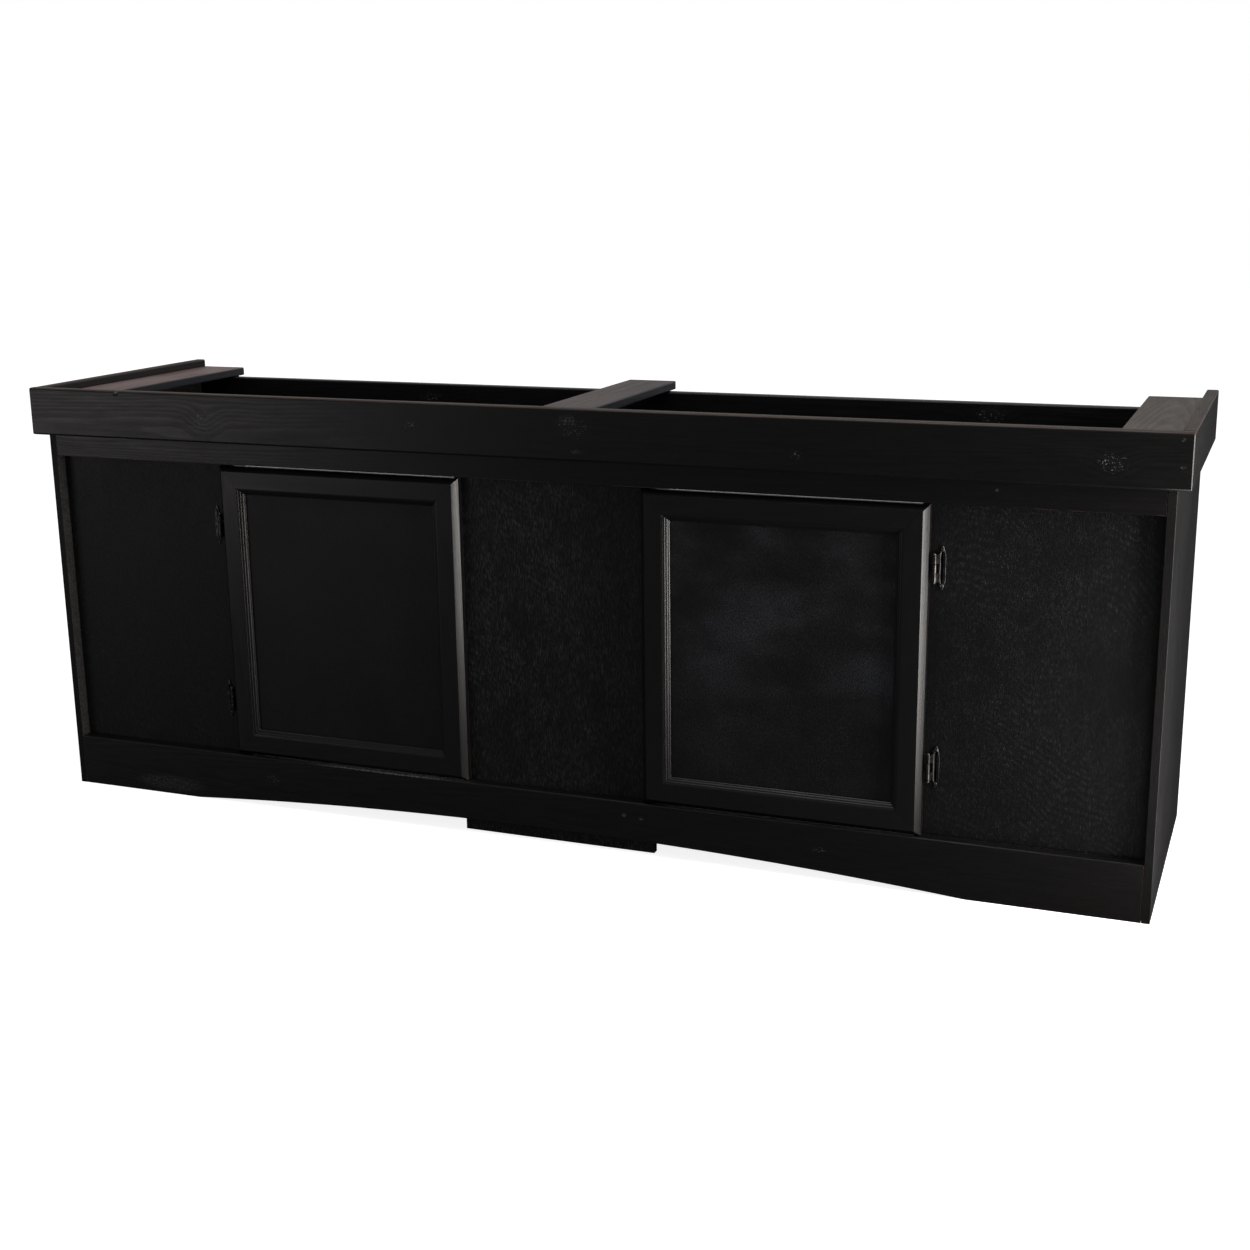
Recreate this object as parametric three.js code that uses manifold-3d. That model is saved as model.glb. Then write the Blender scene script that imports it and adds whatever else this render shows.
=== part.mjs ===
// Aquarium stand cabinet: a long, low stand of black-stained pine boards and plywood.
// Trim boards stand round the front and the ends of the top, three cross planks carry the tank,
// and two framed doors hang on surface hinges in a recessed front.
//
// Millimetres, +Z up. X runs along the length and the front faces -Y. The origin is on the floor
// in the middle of the overall footprint. Depths are measured back from the front of the carcass.

import * as THREE from 'three';
import { RoundedBoxGeometry } from 'three/addons/geometries/RoundedBoxGeometry.js';
import { mergeVertices } from 'three/addons/utils/BufferGeometryUtils.js';
import Module from 'manifold-3d';

const wasm = await Module();
wasm.setup();

// ---------------------------------------------------------------- driving dimensions

const STAND_HEIGHT = 711;
const CARCASS_LENGTH = 1860;
const CARCASS_DEPTH = 473;
const GAP = 0.2; // hairline joint between neighbouring boards

// Pine boards and plywood
const BOARD_THICKNESS = 19;
const BOARD_WIDTH = 88.9;
const PLY_THICKNESS = 12.7;
const EDGE_RADIUS = 2.5;
const TRIM_HEIGHT = 80;
const TRIM_EDGE_RADIUS = 4;
const TANK_RECESS = 13; // the trim stands this far above the planks
const PLANK_THICKNESS = 15;
const PLANK_WIDTH = 87.5;
const POST_WIDTH = 63.5;
const CLEAT_HEIGHT = 38;

// Arch cut in the skirt board
const ARCH_SPAN = 1341;
const ARCH_RISE = 26.7;
const ARCH_CENTRE_X = -6;

// Front panels and door openings, measured from the middle of the stand
const CENTRE_PANEL_HALF = 166.5;
const OUTER_PANEL_INNER_X = 581.5;

// Doors
const DOOR_WIDTH = 441;
const DOOR_HEIGHT = 500;
const DOOR_CENTRE_X = 373.9;
const DOOR_CLEARANCE = 1.3; // above the skirt board
const DOOR_THICKNESS = 19;
const DOOR_STANDOFF = 1.9; // room for the hinge leaf behind the door
const FRAME_WIDTH = 46.5;
const EDGE_BEVEL_WIDTH = 6.8;
const EDGE_BEVEL_DEPTH = 11;
const MOULDING_WIDTH = 11;
const PANEL_RECESS = 11;
const DOOR_PANEL_THICKNESS = 6;
const GROOVE_DEPTH = 6;
const GROOVE_PLAY = 0.3;

// Surface hinges
const HINGE_AXIS_X = 602;
const HINGE_AXIS_DEPTH = 9.5;
const LEFT_HINGE_HEIGHTS = { upper: 487, lower: 183 };
const RIGHT_HINGE_HEIGHTS = { upper: 497, lower: 196 };
const KNUCKLE_RADIUS = 3.2;
const KNUCKLE_BORE = 1.9;
const KNUCKLE_LENGTH = 40;
const MIDDLE_KNUCKLE = 13.4;
const KNUCKLE_PLAY = 0.3;
const PIN_RADIUS = 1.5;
const PIN_CAP_RADIUS = 2.6;
const LEAF_THICKNESS = 1.5;
const FRAME_LEAF_INNER = 4.6;
const FRAME_LEAF_OUTER = 15.2;
const FRAME_LEAF_HEIGHT = 68;
const DOOR_LEAF_REACH = 40;
const SCREW_RADIUS = 3;
const SCREW_RISE = 1.1;

// Magnetic catches
const CATCH_SIZE = new THREE.Vector3(15, 30, 44);
const CATCH_HEIGHT = 340;
const STRIKE_SIZE = new THREE.Vector3(13, 1.1, 36);

// ---------------------------------------------------------------- derived positions

const SIDE_OUTER = CARCASS_LENGTH / 2;
const SIDE_INNER = SIDE_OUTER - PLY_THICKNESS;
const INSIDE_X = SIDE_INNER - GAP;
const TRIM_INNER = SIDE_OUTER + GAP;
const TRIM_OUTER = TRIM_INNER + BOARD_THICKNESS;

const TRIM_BOTTOM = STAND_HEIGHT - TRIM_HEIGHT;
const PLANK_TOP = STAND_HEIGHT - TANK_RECESS;
const PLANK_BOTTOM = PLANK_TOP - PLANK_THICKNESS;
const FRAME_TOP = PLANK_BOTTOM - GAP;
const RAIL_BOTTOM = FRAME_TOP - BOARD_WIDTH;
const DECK_TOP = BOARD_WIDTH;
const DECK_BOTTOM = DECK_TOP - PLY_THICKNESS;
const CLEAT_TOP = DECK_BOTTOM - GAP;

// Depths, from the front of the carcass towards the back
const TRIM_BACK = -GAP;
const TRIM_FRONT = TRIM_BACK - BOARD_THICKNESS;
const PANEL_FRONT = BOARD_THICKNESS + GAP;
const PANEL_BACK = PANEL_FRONT + PLY_THICKNESS;
const POST_FRONT = PANEL_BACK + GAP;
const BACK_POST_FRONT = CARCASS_DEPTH - BOARD_THICKNESS;
const BACK_RAIL_BACK = BACK_POST_FRONT - GAP;
const BACK_RAIL_FRONT = BACK_RAIL_BACK - BOARD_THICKNESS;
const DECK_BACK = BACK_RAIL_FRONT - GAP;
const DOOR_BACK = PANEL_FRONT - DOOR_STANDOFF;
const DOOR_FRONT = DOOR_BACK - DOOR_THICKNESS;
const DOOR_BOTTOM = BOARD_WIDTH + DOOR_CLEARANCE;

// ---------------------------------------------------------------- finishes

const finish = (color, roughness, metalness = 0) => () =>
  new THREE.MeshStandardMaterial({ color, roughness, metalness });
const stainedPine = finish(0x1b1817, 0.42);
const stainedPly = finish(0x171616, 0.5);
const hingeMetal = finish(0x2a2a2b, 0.35, 0.9);
const catchPlastic = finish(0x3a2c22, 0.55);
const strikeSteel = finish(0x9a9a98, 0.35, 0.95);

// ---------------------------------------------------------------- helpers

const stand = new THREE.Group();
stand.position.y = -(TRIM_FRONT + CARCASS_DEPTH) / 2;

function add(parent, name, geometry, material, position = [0, 0, 0]) {
  const mesh = new THREE.Mesh(geometry, material());
  mesh.name = name;
  mesh.position.set(...position);
  parent.add(mesh);
  return mesh;
}

const middle = ([low, high]) => (low + high) / 2;
const span = ([low, high]) => high - low;

// Places a box-shaped piece by its extents: x, depth and height, each [low, high].
function addBetween(name, x, y, z, material, makeGeometry) {
  const geometry = makeGeometry(span(x), span(y), span(z));
  return add(stand, name, geometry, material, [middle(x), middle(y), middle(z)]);
}

// A rectangle with its corners rounded, centred on the origin.
function roundedRectangle(width, height, radius) {
  const x = width / 2 - radius;
  const y = height / 2 - radius;
  const shape = new THREE.Shape();
  shape.absarc(x, y, radius, 0, Math.PI / 2);
  shape.absarc(-x, y, radius, Math.PI / 2, Math.PI);
  shape.absarc(-x, -y, radius, Math.PI, Math.PI * 1.5);
  shape.absarc(x, -y, radius, Math.PI * 1.5, Math.PI * 2);
  return shape;
}

function extrude(shape, depth, curveSegments = 3) {
  const geometry = new THREE.ExtrudeGeometry(shape, { depth, curveSegments, bevelEnabled: false });
  return geometry.translate(0, 0, -depth / 2);
}

// A sawn board: its four long edges are eased and its ends are cut square.
function easedBoard(sizeX, sizeY, sizeZ) {
  const length = Math.max(sizeX, sizeY, sizeZ);
  if (length === sizeX) {
    return extrude(roundedRectangle(sizeZ, sizeY, EDGE_RADIUS), length).rotateY(Math.PI / 2);
  }
  if (length === sizeY) {
    return extrude(roundedRectangle(sizeX, sizeZ, EDGE_RADIUS), length).rotateX(-Math.PI / 2);
  }
  return extrude(roundedRectangle(sizeX, sizeY, EDGE_RADIUS), length);
}

const sheet = (sizeX, sizeY, sizeZ) => new THREE.BoxGeometry(sizeX, sizeY, sizeZ);
const roundedBoard = (sizeX, sizeY, sizeZ) =>
  new RoundedBoxGeometry(sizeX, sizeY, sizeZ, 2, TRIM_EDGE_RADIUS);

const addPine = (name, x, y, z) => addBetween(name, x, y, z, stainedPine, easedBoard);
const addPly = (name, x, y, z) => addBetween(name, x, y, z, stainedPly, sheet);

// Mirrors a range of x to the left or right half of the stand.
const SIDES = [{ side: 'left', sign: -1 }, { side: 'right', sign: 1 }];
const mirrored = (sign, near, far) => (sign > 0 ? [near, far] : [-far, -near]);

// Boolean work: three.js geometry to a manifold solid and back.
function toSolid(geometry) {
  const bare = geometry.clone();
  bare.deleteAttribute('normal');
  bare.deleteAttribute('uv');
  const merged = mergeVertices(bare, 1e-4);
  const triVerts = new Uint32Array(merged.index.array);
  const vertProperties = new Float32Array(merged.attributes.position.array);
  return new wasm.Manifold(new wasm.Mesh({ numProp: 3, vertProperties, triVerts }));
}

function toGeometry(solid) {
  const mesh = solid.getMesh();
  const geometry = new THREE.BufferGeometry();
  geometry.setAttribute('position', new THREE.BufferAttribute(mesh.vertProperties, 3));
  geometry.setIndex(new THREE.BufferAttribute(mesh.triVerts, 1));
  geometry.computeVertexNormals();
  return geometry;
}

const joined = (geometries) =>
  toGeometry(geometries.map(toSolid).reduce((whole, piece) => whole.add(piece)));

// ---------------------------------------------------------------- top

function buildTop() {
  const trimZ = [TRIM_BOTTOM, STAND_HEIGHT];
  const plankZ = [PLANK_BOTTOM, PLANK_TOP];
  const frontTrim = ['trim_front', [-TRIM_OUTER, TRIM_OUTER], [TRIM_FRONT, TRIM_BACK], trimZ];
  addBetween(...frontTrim, stainedPine, roundedBoard);
  addPine('plank_center', [-PLANK_WIDTH / 2, PLANK_WIDTH / 2], [0, CARCASS_DEPTH], plankZ);
  for (const { side, sign } of SIDES) {
    const trimX = mirrored(sign, TRIM_INNER, TRIM_OUTER);
    const plankX = mirrored(sign, SIDE_OUTER - PLANK_WIDTH, SIDE_OUTER);
    addPine(`trim_${side}`, trimX, [0, CARCASS_DEPTH], trimZ);
    addPine(`plank_${side}`, plankX, [0, CARCASS_DEPTH], plankZ);
  }
}

// ---------------------------------------------------------------- carcass

// The skirt's outline from the front: a board with a circular arc cut from its lower edge.
function skirtGeometry() {
  const halfSpan = ARCH_SPAN / 2;
  const radius = (halfSpan ** 2 + ARCH_RISE ** 2) / (2 * ARCH_RISE);
  const halfAngle = Math.asin(halfSpan / radius);
  const arcBottom = ARCH_RISE - radius;
  const shape = new THREE.Shape();
  shape.moveTo(-INSIDE_X, 0);
  shape.lineTo(ARCH_CENTRE_X - halfSpan, 0);
  shape.absarc(ARCH_CENTRE_X, arcBottom, radius, Math.PI / 2 + halfAngle, Math.PI / 2 - halfAngle, true);
  shape.lineTo(INSIDE_X, 0);
  shape.lineTo(INSIDE_X, BOARD_WIDTH);
  shape.lineTo(-INSIDE_X, BOARD_WIDTH);
  return extrude(shape, BOARD_THICKNESS, 28).rotateX(Math.PI / 2);
}

function buildFront() {
  const boardDepth = [0, BOARD_THICKNESS];
  const panelDepth = [PANEL_FRONT, PANEL_BACK];
  const panelZ = [DECK_TOP + GAP, FRAME_TOP];
  const postDepth = [POST_FRONT, POST_FRONT + BOARD_THICKNESS];
  addPine('front_top_rail', [-INSIDE_X, INSIDE_X], boardDepth, [RAIL_BOTTOM, FRAME_TOP]);
  add(stand, 'skirt_board', skirtGeometry(), stainedPine, [0, BOARD_THICKNESS / 2, 0]);
  const centreX = [-CENTRE_PANEL_HALF, CENTRE_PANEL_HALF];
  addPly('front_panel_center', centreX, panelDepth, [0, FRAME_TOP]);
  for (const { side, sign } of SIDES) {
    const panelX = mirrored(sign, OUTER_PANEL_INNER_X, INSIDE_X);
    const cornerX = mirrored(sign, INSIDE_X - POST_WIDTH, INSIDE_X);
    const postX = mirrored(sign, CENTRE_PANEL_HALF - POST_WIDTH, CENTRE_PANEL_HALF);
    addPly(`front_panel_${side}`, panelX, panelDepth, panelZ);
    addPine(`front_corner_post_${side}`, cornerX, postDepth, panelZ);
    addPine(`front_center_post_${side}`, postX, postDepth, panelZ);
  }
}

function buildSidesAndBack() {
  const railDepth = [BACK_RAIL_FRONT, BACK_RAIL_BACK];
  const postDepth = [BACK_POST_FRONT, CARCASS_DEPTH];
  const insideX = [-INSIDE_X, INSIDE_X];
  addPine('back_top_rail', insideX, railDepth, [RAIL_BOTTOM, FRAME_TOP]);
  addPine('back_bottom_rail', insideX, railDepth, [0, BOARD_WIDTH]);
  addPine('back_post_center', [-POST_WIDTH / 2, POST_WIDTH / 2], postDepth, [0, FRAME_TOP]);
  for (const { side, sign } of SIDES) {
    const postX = mirrored(sign, INSIDE_X - POST_WIDTH, INSIDE_X);
    addPly(`side_panel_${side}`, mirrored(sign, SIDE_INNER, SIDE_OUTER), [0, CARCASS_DEPTH], [0, FRAME_TOP]);
    addPine(`back_post_${side}`, postX, postDepth, [0, FRAME_TOP]);
  }
}

// The deck fills the floor of the cabinet and is notched round the centre front panel.
function deckGeometry() {
  const notchX = CENTRE_PANEL_HALF + GAP;
  const shape = new THREE.Shape();
  shape.moveTo(-INSIDE_X, PANEL_FRONT);
  shape.lineTo(-notchX, PANEL_FRONT);
  shape.lineTo(-notchX, POST_FRONT);
  shape.lineTo(notchX, POST_FRONT);
  shape.lineTo(notchX, PANEL_FRONT);
  shape.lineTo(INSIDE_X, PANEL_FRONT);
  shape.lineTo(INSIDE_X, DECK_BACK);
  shape.lineTo(-INSIDE_X, DECK_BACK);
  return extrude(shape, PLY_THICKNESS);
}

function buildDeck() {
  const cleatZ = [CLEAT_TOP - CLEAT_HEIGHT, CLEAT_TOP];
  const frontDepth = [PANEL_FRONT, PANEL_FRONT + BOARD_THICKNESS];
  const backDepth = [DECK_BACK - BOARD_THICKNESS, DECK_BACK];
  const sideDepth = [frontDepth[1] + GAP, backDepth[0] - GAP];
  add(stand, 'floor_deck', deckGeometry(), stainedPly, [0, 0, middle([DECK_BOTTOM, DECK_TOP])]);
  addPine('deck_cleat_back', [-INSIDE_X, INSIDE_X], backDepth, cleatZ);
  for (const { side, sign } of SIDES) {
    const frontX = mirrored(sign, CENTRE_PANEL_HALF + GAP, INSIDE_X);
    const sideX = mirrored(sign, INSIDE_X - BOARD_THICKNESS, INSIDE_X);
    addPine(`deck_cleat_front_${side}`, frontX, frontDepth, cleatZ);
    addPine(`deck_cleat_${side}`, sideX, sideDepth, cleatZ);
  }
}

// ---------------------------------------------------------------- doors

// Section of a door frame board: x from its outer edge inwards, y from its back to its face.
function frameSection() {
  const panelBack = DOOR_THICKNESS - PANEL_RECESS - DOOR_PANEL_THICKNESS;
  const panelFace = DOOR_THICKNESS - PANEL_RECESS;
  const grooveEnd = FRAME_WIDTH - GROOVE_DEPTH - GROOVE_PLAY;
  const mouldingStart = FRAME_WIDTH - MOULDING_WIDTH;
  const outline = [
    [0, 0],
    [FRAME_WIDTH, 0],
    [FRAME_WIDTH, panelBack - GROOVE_PLAY],
    [grooveEnd, panelBack - GROOVE_PLAY],
    [grooveEnd, panelFace + GROOVE_PLAY],
    [FRAME_WIDTH, panelFace + GROOVE_PLAY],
    [FRAME_WIDTH, panelFace + 2],
    [FRAME_WIDTH - 2.5, panelFace + 3.5],
    [mouldingStart + 3.5, DOOR_THICKNESS - 3.5],
    [mouldingStart + 1.5, DOOR_THICKNESS - 1.5],
    [mouldingStart, DOOR_THICKNESS - 1.5],
    [mouldingStart, DOOR_THICKNESS],
    [EDGE_BEVEL_WIDTH, DOOR_THICKNESS],
    [0, DOOR_THICKNESS - EDGE_BEVEL_DEPTH],
  ];
  return new THREE.Shape(outline.map(([x, y]) => new THREE.Vector2(x, y)));
}

// A frame board with both ends mitred. It lies along X below the door's centre, at the distance
// reach, with its inner edge up and its face towards -Y.
function mitredBoard(length, reach) {
  const geometry = extrude(frameSection(), length);
  const position = geometry.attributes.position;
  for (let i = 0; i < position.count; i += 1) {
    const end = Math.sign(position.getZ(i));
    const inset = position.getX(i) + GAP / 2;
    position.setZ(i, end * (length / 2 - inset));
  }
  const across = new THREE.Vector3(0, 0, 1);
  const towardsFront = new THREE.Vector3(0, -1, 0);
  const along = new THREE.Vector3(1, 0, 0);
  geometry.applyMatrix4(new THREE.Matrix4().makeBasis(across, towardsFront, along));
  geometry.translate(0, DOOR_THICKNESS, -reach);
  geometry.computeVertexNormals();
  return geometry;
}

function buildDoor(side, sign) {
  const door = new THREE.Group();
  door.position.set(sign * DOOR_CENTRE_X, DOOR_FRONT, DOOR_BOTTOM + DOOR_HEIGHT / 2);
  stand.add(door);

  const quarter = Math.PI / 2;
  const boards = [
    { name: 'bottom_rail', length: DOOR_WIDTH, reach: DOOR_HEIGHT / 2, turn: 0 },
    { name: 'right_stile', length: DOOR_HEIGHT, reach: DOOR_WIDTH / 2, turn: -quarter },
    { name: 'top_rail', length: DOOR_WIDTH, reach: DOOR_HEIGHT / 2, turn: 2 * quarter },
    { name: 'left_stile', length: DOOR_HEIGHT, reach: DOOR_WIDTH / 2, turn: quarter },
  ];
  for (const { name, length, reach, turn } of boards) {
    const board = add(door, `${side}_door_${name}`, mitredBoard(length, reach), stainedPine);
    board.rotation.y = turn;
  }
  const margin = 2 * (FRAME_WIDTH - GROOVE_DEPTH);
  const panel = sheet(DOOR_WIDTH - margin, DOOR_PANEL_THICKNESS, DOOR_HEIGHT - margin);
  const panelDepth = PANEL_RECESS + DOOR_PANEL_THICKNESS / 2;
  add(door, `${side}_door_panel`, panel, stainedPly, [0, panelDepth, 0]);
}

// ---------------------------------------------------------------- hinges

// Hinge pieces are drawn for the right-hand door, round the pivot: x points away from the door
// and y towards the back. Turned half a turn about y they fit the left-hand door.

function knuckle(low, high) {
  const profile = [
    new THREE.Vector2(KNUCKLE_BORE, low),
    new THREE.Vector2(KNUCKLE_RADIUS, low),
    new THREE.Vector2(KNUCKLE_RADIUS, high),
    new THREE.Vector2(KNUCKLE_BORE, high),
    new THREE.Vector2(KNUCKLE_BORE, low),
  ];
  return new THREE.LatheGeometry(profile, 24).rotateX(Math.PI / 2);
}

// A flat strip of leaf, given by its outline in plan and its low and high ends.
function strip(points, low, high) {
  const shape = new THREE.Shape(points.map(([x, y]) => new THREE.Vector2(x, y)));
  return extrude(shape, high - low).translate(0, 0, (low + high) / 2);
}

const LEAF_BACK = PANEL_FRONT - HINGE_AXIS_DEPTH - GAP;
const LEAF_FRONT = LEAF_BACK - LEAF_THICKNESS;

// The plate screwed to the front panel: taller than the knuckle, with both ends rounded.
function framePlate() {
  const top = FRAME_LEAF_HEIGHT / 2;
  const shoulder = KNUCKLE_LENGTH / 2;
  const middleX = (FRAME_LEAF_INNER + FRAME_LEAF_OUTER) / 2;
  const shape = new THREE.Shape();
  shape.moveTo(FRAME_LEAF_INNER, -shoulder);
  shape.quadraticCurveTo(FRAME_LEAF_INNER, -top, middleX, -top);
  shape.quadraticCurveTo(FRAME_LEAF_OUTER, -top, FRAME_LEAF_OUTER, -shoulder);
  shape.lineTo(FRAME_LEAF_OUTER, shoulder);
  shape.quadraticCurveTo(FRAME_LEAF_OUTER, top, middleX, top);
  shape.quadraticCurveTo(FRAME_LEAF_INNER, top, FRAME_LEAF_INNER, shoulder);
  const plate = extrude(shape, LEAF_THICKNESS, 6).rotateX(Math.PI / 2);
  return plate.translate(0, (LEAF_FRONT + LEAF_BACK) / 2, 0);
}

function screwHead(x, z) {
  const profile = [
    new THREE.Vector2(0, -0.5),
    new THREE.Vector2(SCREW_RADIUS, -0.5),
    new THREE.Vector2(SCREW_RADIUS * 0.8, SCREW_RISE * 0.7),
    new THREE.Vector2(0, SCREW_RISE),
  ];
  const head = new THREE.LatheGeometry(profile, 16).rotateX(Math.PI);
  return head.translate(x, LEAF_FRONT, z);
}

function frameLeafGeometry() {
  const inner = MIDDLE_KNUCKLE / 2 + KNUCKLE_PLAY;
  const outer = KNUCKLE_LENGTH / 2;
  const web = [
    [2.3, 0.3],
    [3.1, -0.3],
    [6.6, LEAF_FRONT],
    [6.6, LEAF_BACK],
    [4.9, LEAF_BACK],
  ];
  const screwX = (FRAME_LEAF_INNER + FRAME_LEAF_OUTER) / 2;
  const pieces = [framePlate()];
  for (const [low, high] of [[-outer, -inner], [inner, outer]]) {
    pieces.push(knuckle(low, high), strip(web, low, high));
  }
  for (const z of [-1, 1]) {
    pieces.push(screwHead(screwX, z * (FRAME_LEAF_HEIGHT / 2 - 8)));
  }
  return joined(pieces);
}

function doorLeafGeometry() {
  const outer = KNUCKLE_LENGTH / 2;
  const inner = MIDDLE_KNUCKLE / 2;
  const web = [
    [-2.7, 1.2],
    [-1.2, 2.3],
    [-1.2, LEAF_BACK],
    [-2.7, LEAF_BACK],
  ];
  const plate = [
    [-DOOR_LEAF_REACH, LEAF_FRONT],
    [-1.2, LEAF_FRONT],
    [-1.2, LEAF_BACK],
    [-DOOR_LEAF_REACH, LEAF_BACK],
  ];
  const pieces = [knuckle(-inner, inner), strip(web, -inner, inner), strip(plate, -outer, outer)];
  return joined(pieces);
}

// The pin runs through all three knuckles and has a button at each end.
function pinGeometry() {
  const end = KNUCKLE_LENGTH / 2 + GAP;
  const tip = end + 3.2;
  const profile = [
    new THREE.Vector2(0, -tip),
    new THREE.Vector2(PIN_CAP_RADIUS * 0.75, -tip + 0.8),
    new THREE.Vector2(PIN_CAP_RADIUS, -end - 0.9),
    new THREE.Vector2(PIN_CAP_RADIUS, -end),
    new THREE.Vector2(PIN_RADIUS, -end),
    new THREE.Vector2(PIN_RADIUS, end),
    new THREE.Vector2(PIN_CAP_RADIUS, end),
    new THREE.Vector2(PIN_CAP_RADIUS, end + 0.9),
    new THREE.Vector2(PIN_CAP_RADIUS * 0.75, tip - 0.8),
    new THREE.Vector2(0, tip),
  ];
  return new THREE.LatheGeometry(profile, 20).rotateX(Math.PI / 2);
}

function buildHinge(side, sign, place, height) {
  const hinge = new THREE.Group();
  hinge.position.set(sign * HINGE_AXIS_X, HINGE_AXIS_DEPTH, height);
  hinge.rotation.y = sign > 0 ? 0 : Math.PI;
  stand.add(hinge);
  add(hinge, `${side}_${place}_hinge_frame_leaf`, frameLeafGeometry(), hingeMetal);
  add(hinge, `${side}_${place}_hinge_door_leaf`, doorLeafGeometry(), hingeMetal);
  add(hinge, `${side}_${place}_hinge_pin`, pinGeometry(), hingeMetal);
}

// ---------------------------------------------------------------- catches

function buildCatch(side, sign) {
  const { x: catchX, y: catchY, z: catchZ } = CATCH_SIZE;
  const { x: strikeX, y: strikeY, z: strikeZ } = STRIKE_SIZE;
  const x = sign * (CENTRE_PANEL_HALF + GAP + catchX / 2);
  const strikeFront = DOOR_BACK + GAP;
  const catchFront = strikeFront + strikeY + GAP;
  const body = sheet(catchX, catchY, catchZ);
  const strike = extrude(roundedRectangle(strikeX, strikeZ, 3), strikeY).rotateX(Math.PI / 2);
  add(stand, `${side}_catch_body`, body, catchPlastic, [x, catchFront + catchY / 2, CATCH_HEIGHT]);
  add(stand, `${side}_catch_strike`, strike, strikeSteel, [x, strikeFront + strikeY / 2, CATCH_HEIGHT]);
}

// ---------------------------------------------------------------- assembly

buildTop();
buildFront();
buildSidesAndBack();
buildDeck();
const HINGE_HEIGHTS = { left: LEFT_HINGE_HEIGHTS, right: RIGHT_HINGE_HEIGHTS };
for (const { side, sign } of SIDES) {
  buildDoor(side, sign);
  buildCatch(side, sign);
  for (const [place, height] of Object.entries(HINGE_HEIGHTS[side])) {
    buildHinge(side, sign, place, height);
  }
}

export default stand;
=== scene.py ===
"""Looks of the aquarium stand cabinet: a long, low stand of black-stained pine and plywood.

Every piece is made in metres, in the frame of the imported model, and takes its place from the box
of the solid that it stands for. X runs along the stand, the front faces -Y and +Z is up.
"""

from __future__ import annotations

import logging
import math
from dataclasses import dataclass, field
from enum import Enum
from random import Random
from typing import Any, Callable, Iterable, Mapping, Sequence

import bmesh
import bpy
from mathutils import Matrix, Vector, noise


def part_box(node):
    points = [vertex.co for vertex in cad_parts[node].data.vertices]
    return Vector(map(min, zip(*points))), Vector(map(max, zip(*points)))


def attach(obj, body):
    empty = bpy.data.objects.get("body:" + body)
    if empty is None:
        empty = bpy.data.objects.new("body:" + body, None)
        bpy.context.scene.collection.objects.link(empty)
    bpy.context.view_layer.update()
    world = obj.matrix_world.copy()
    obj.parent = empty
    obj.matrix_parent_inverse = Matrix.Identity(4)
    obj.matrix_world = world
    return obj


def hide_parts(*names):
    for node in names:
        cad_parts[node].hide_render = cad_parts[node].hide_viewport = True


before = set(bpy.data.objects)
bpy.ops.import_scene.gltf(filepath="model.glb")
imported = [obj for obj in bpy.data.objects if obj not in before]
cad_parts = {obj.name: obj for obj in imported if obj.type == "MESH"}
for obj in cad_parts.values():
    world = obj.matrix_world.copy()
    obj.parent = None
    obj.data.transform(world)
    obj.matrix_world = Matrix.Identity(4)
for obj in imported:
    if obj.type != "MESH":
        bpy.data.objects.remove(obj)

log = logging.getLogger("stand")

MM = 0.001
SKIN = 0.15 * MM  # every board stands this far inside its solid
TOUCH = 0.01 * MM  # points nearer to a plane than this lie in it
MERGE = 0.001 * MM  # points nearer to each other than this are one
CREASE = math.radians(38)  # edges bent more than this are drawn sharp
CORNER = 0.6  # edges bent more than this, in radians, are picked for easing
ALIGNED = 0.98  # unit vectors that run together have a product above this
SQUARE_ON = 0.999  # the normal of a face square to an axis has a part above this

Colour = tuple[float, float, float]


class Axis(Enum):
    """The three directions of the stand."""

    LENGTH = 0
    DEPTH = 1
    HEIGHT = 2

    @property
    def unit(self) -> Vector:
        """The direction as a unit vector."""
        return Vector([float(index == self.value) for index in range(3)])


class Side(Enum):
    """The two ends of the stand, each with its direction along X."""

    LEFT = -1
    RIGHT = 1

    @property
    def label(self) -> str:
        """The word that piece names use."""
        return self.name.lower()


# ---------------------------------------------------------------- shader maths


def maths(operation: str, swapped: bool = False) -> Callable[..., Wire]:
    """Makes a Wire method that puts a Math node on the wire and on what else it is given.

    Args:
        operation: the node's operation.
        swapped: True if the wire comes last, as when Python calls the method from the right.

    Returns:
        The method.
    """

    def method(self: Wire, *others: Wire | float) -> Wire:
        """Adds the node."""
        values = (*others, self) if swapped else (self, *others)
        return self.bench.math(operation, *values)

    return method


class Wire:
    """A shader socket that takes part in Python arithmetic through Math nodes."""

    __add__, __radd__ = maths("ADD"), maths("ADD", True)
    __sub__, __rsub__ = maths("SUBTRACT"), maths("SUBTRACT", True)
    __mul__, __rmul__ = maths("MULTIPLY"), maths("MULTIPLY", True)
    __truediv__ = maths("DIVIDE")
    __abs__ = maths("ABSOLUTE")
    sine = maths("SINE")
    root = maths("SQRT")
    fraction = maths("FRACT")
    exponential = maths("EXPONENT")
    smaller = maths("MINIMUM")
    larger = maths("MAXIMUM")

    def __init__(self, bench: NodeBench, socket: bpy.types.NodeSocket) -> None:
        """Keeps the socket and the tree that it belongs to."""
        self.bench = bench
        self.socket = socket

    def ease(self, start: float, end: float) -> Wire:
        """Goes smoothly from 0 at start to 1 at end, which may be the lower of the two.

        Args:
            start: the value at which the result is 0.
            end: the value at which the result is 1.

        Returns:
            The eased value.
        """
        ranged = self.bench.node(
            "ShaderNodeMapRange",
            {"interpolation_type": "SMOOTHSTEP"},
            {"Value": self, "From Min": start, "From Max": end},
        )
        return self.bench.wire(ranged)


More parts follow.
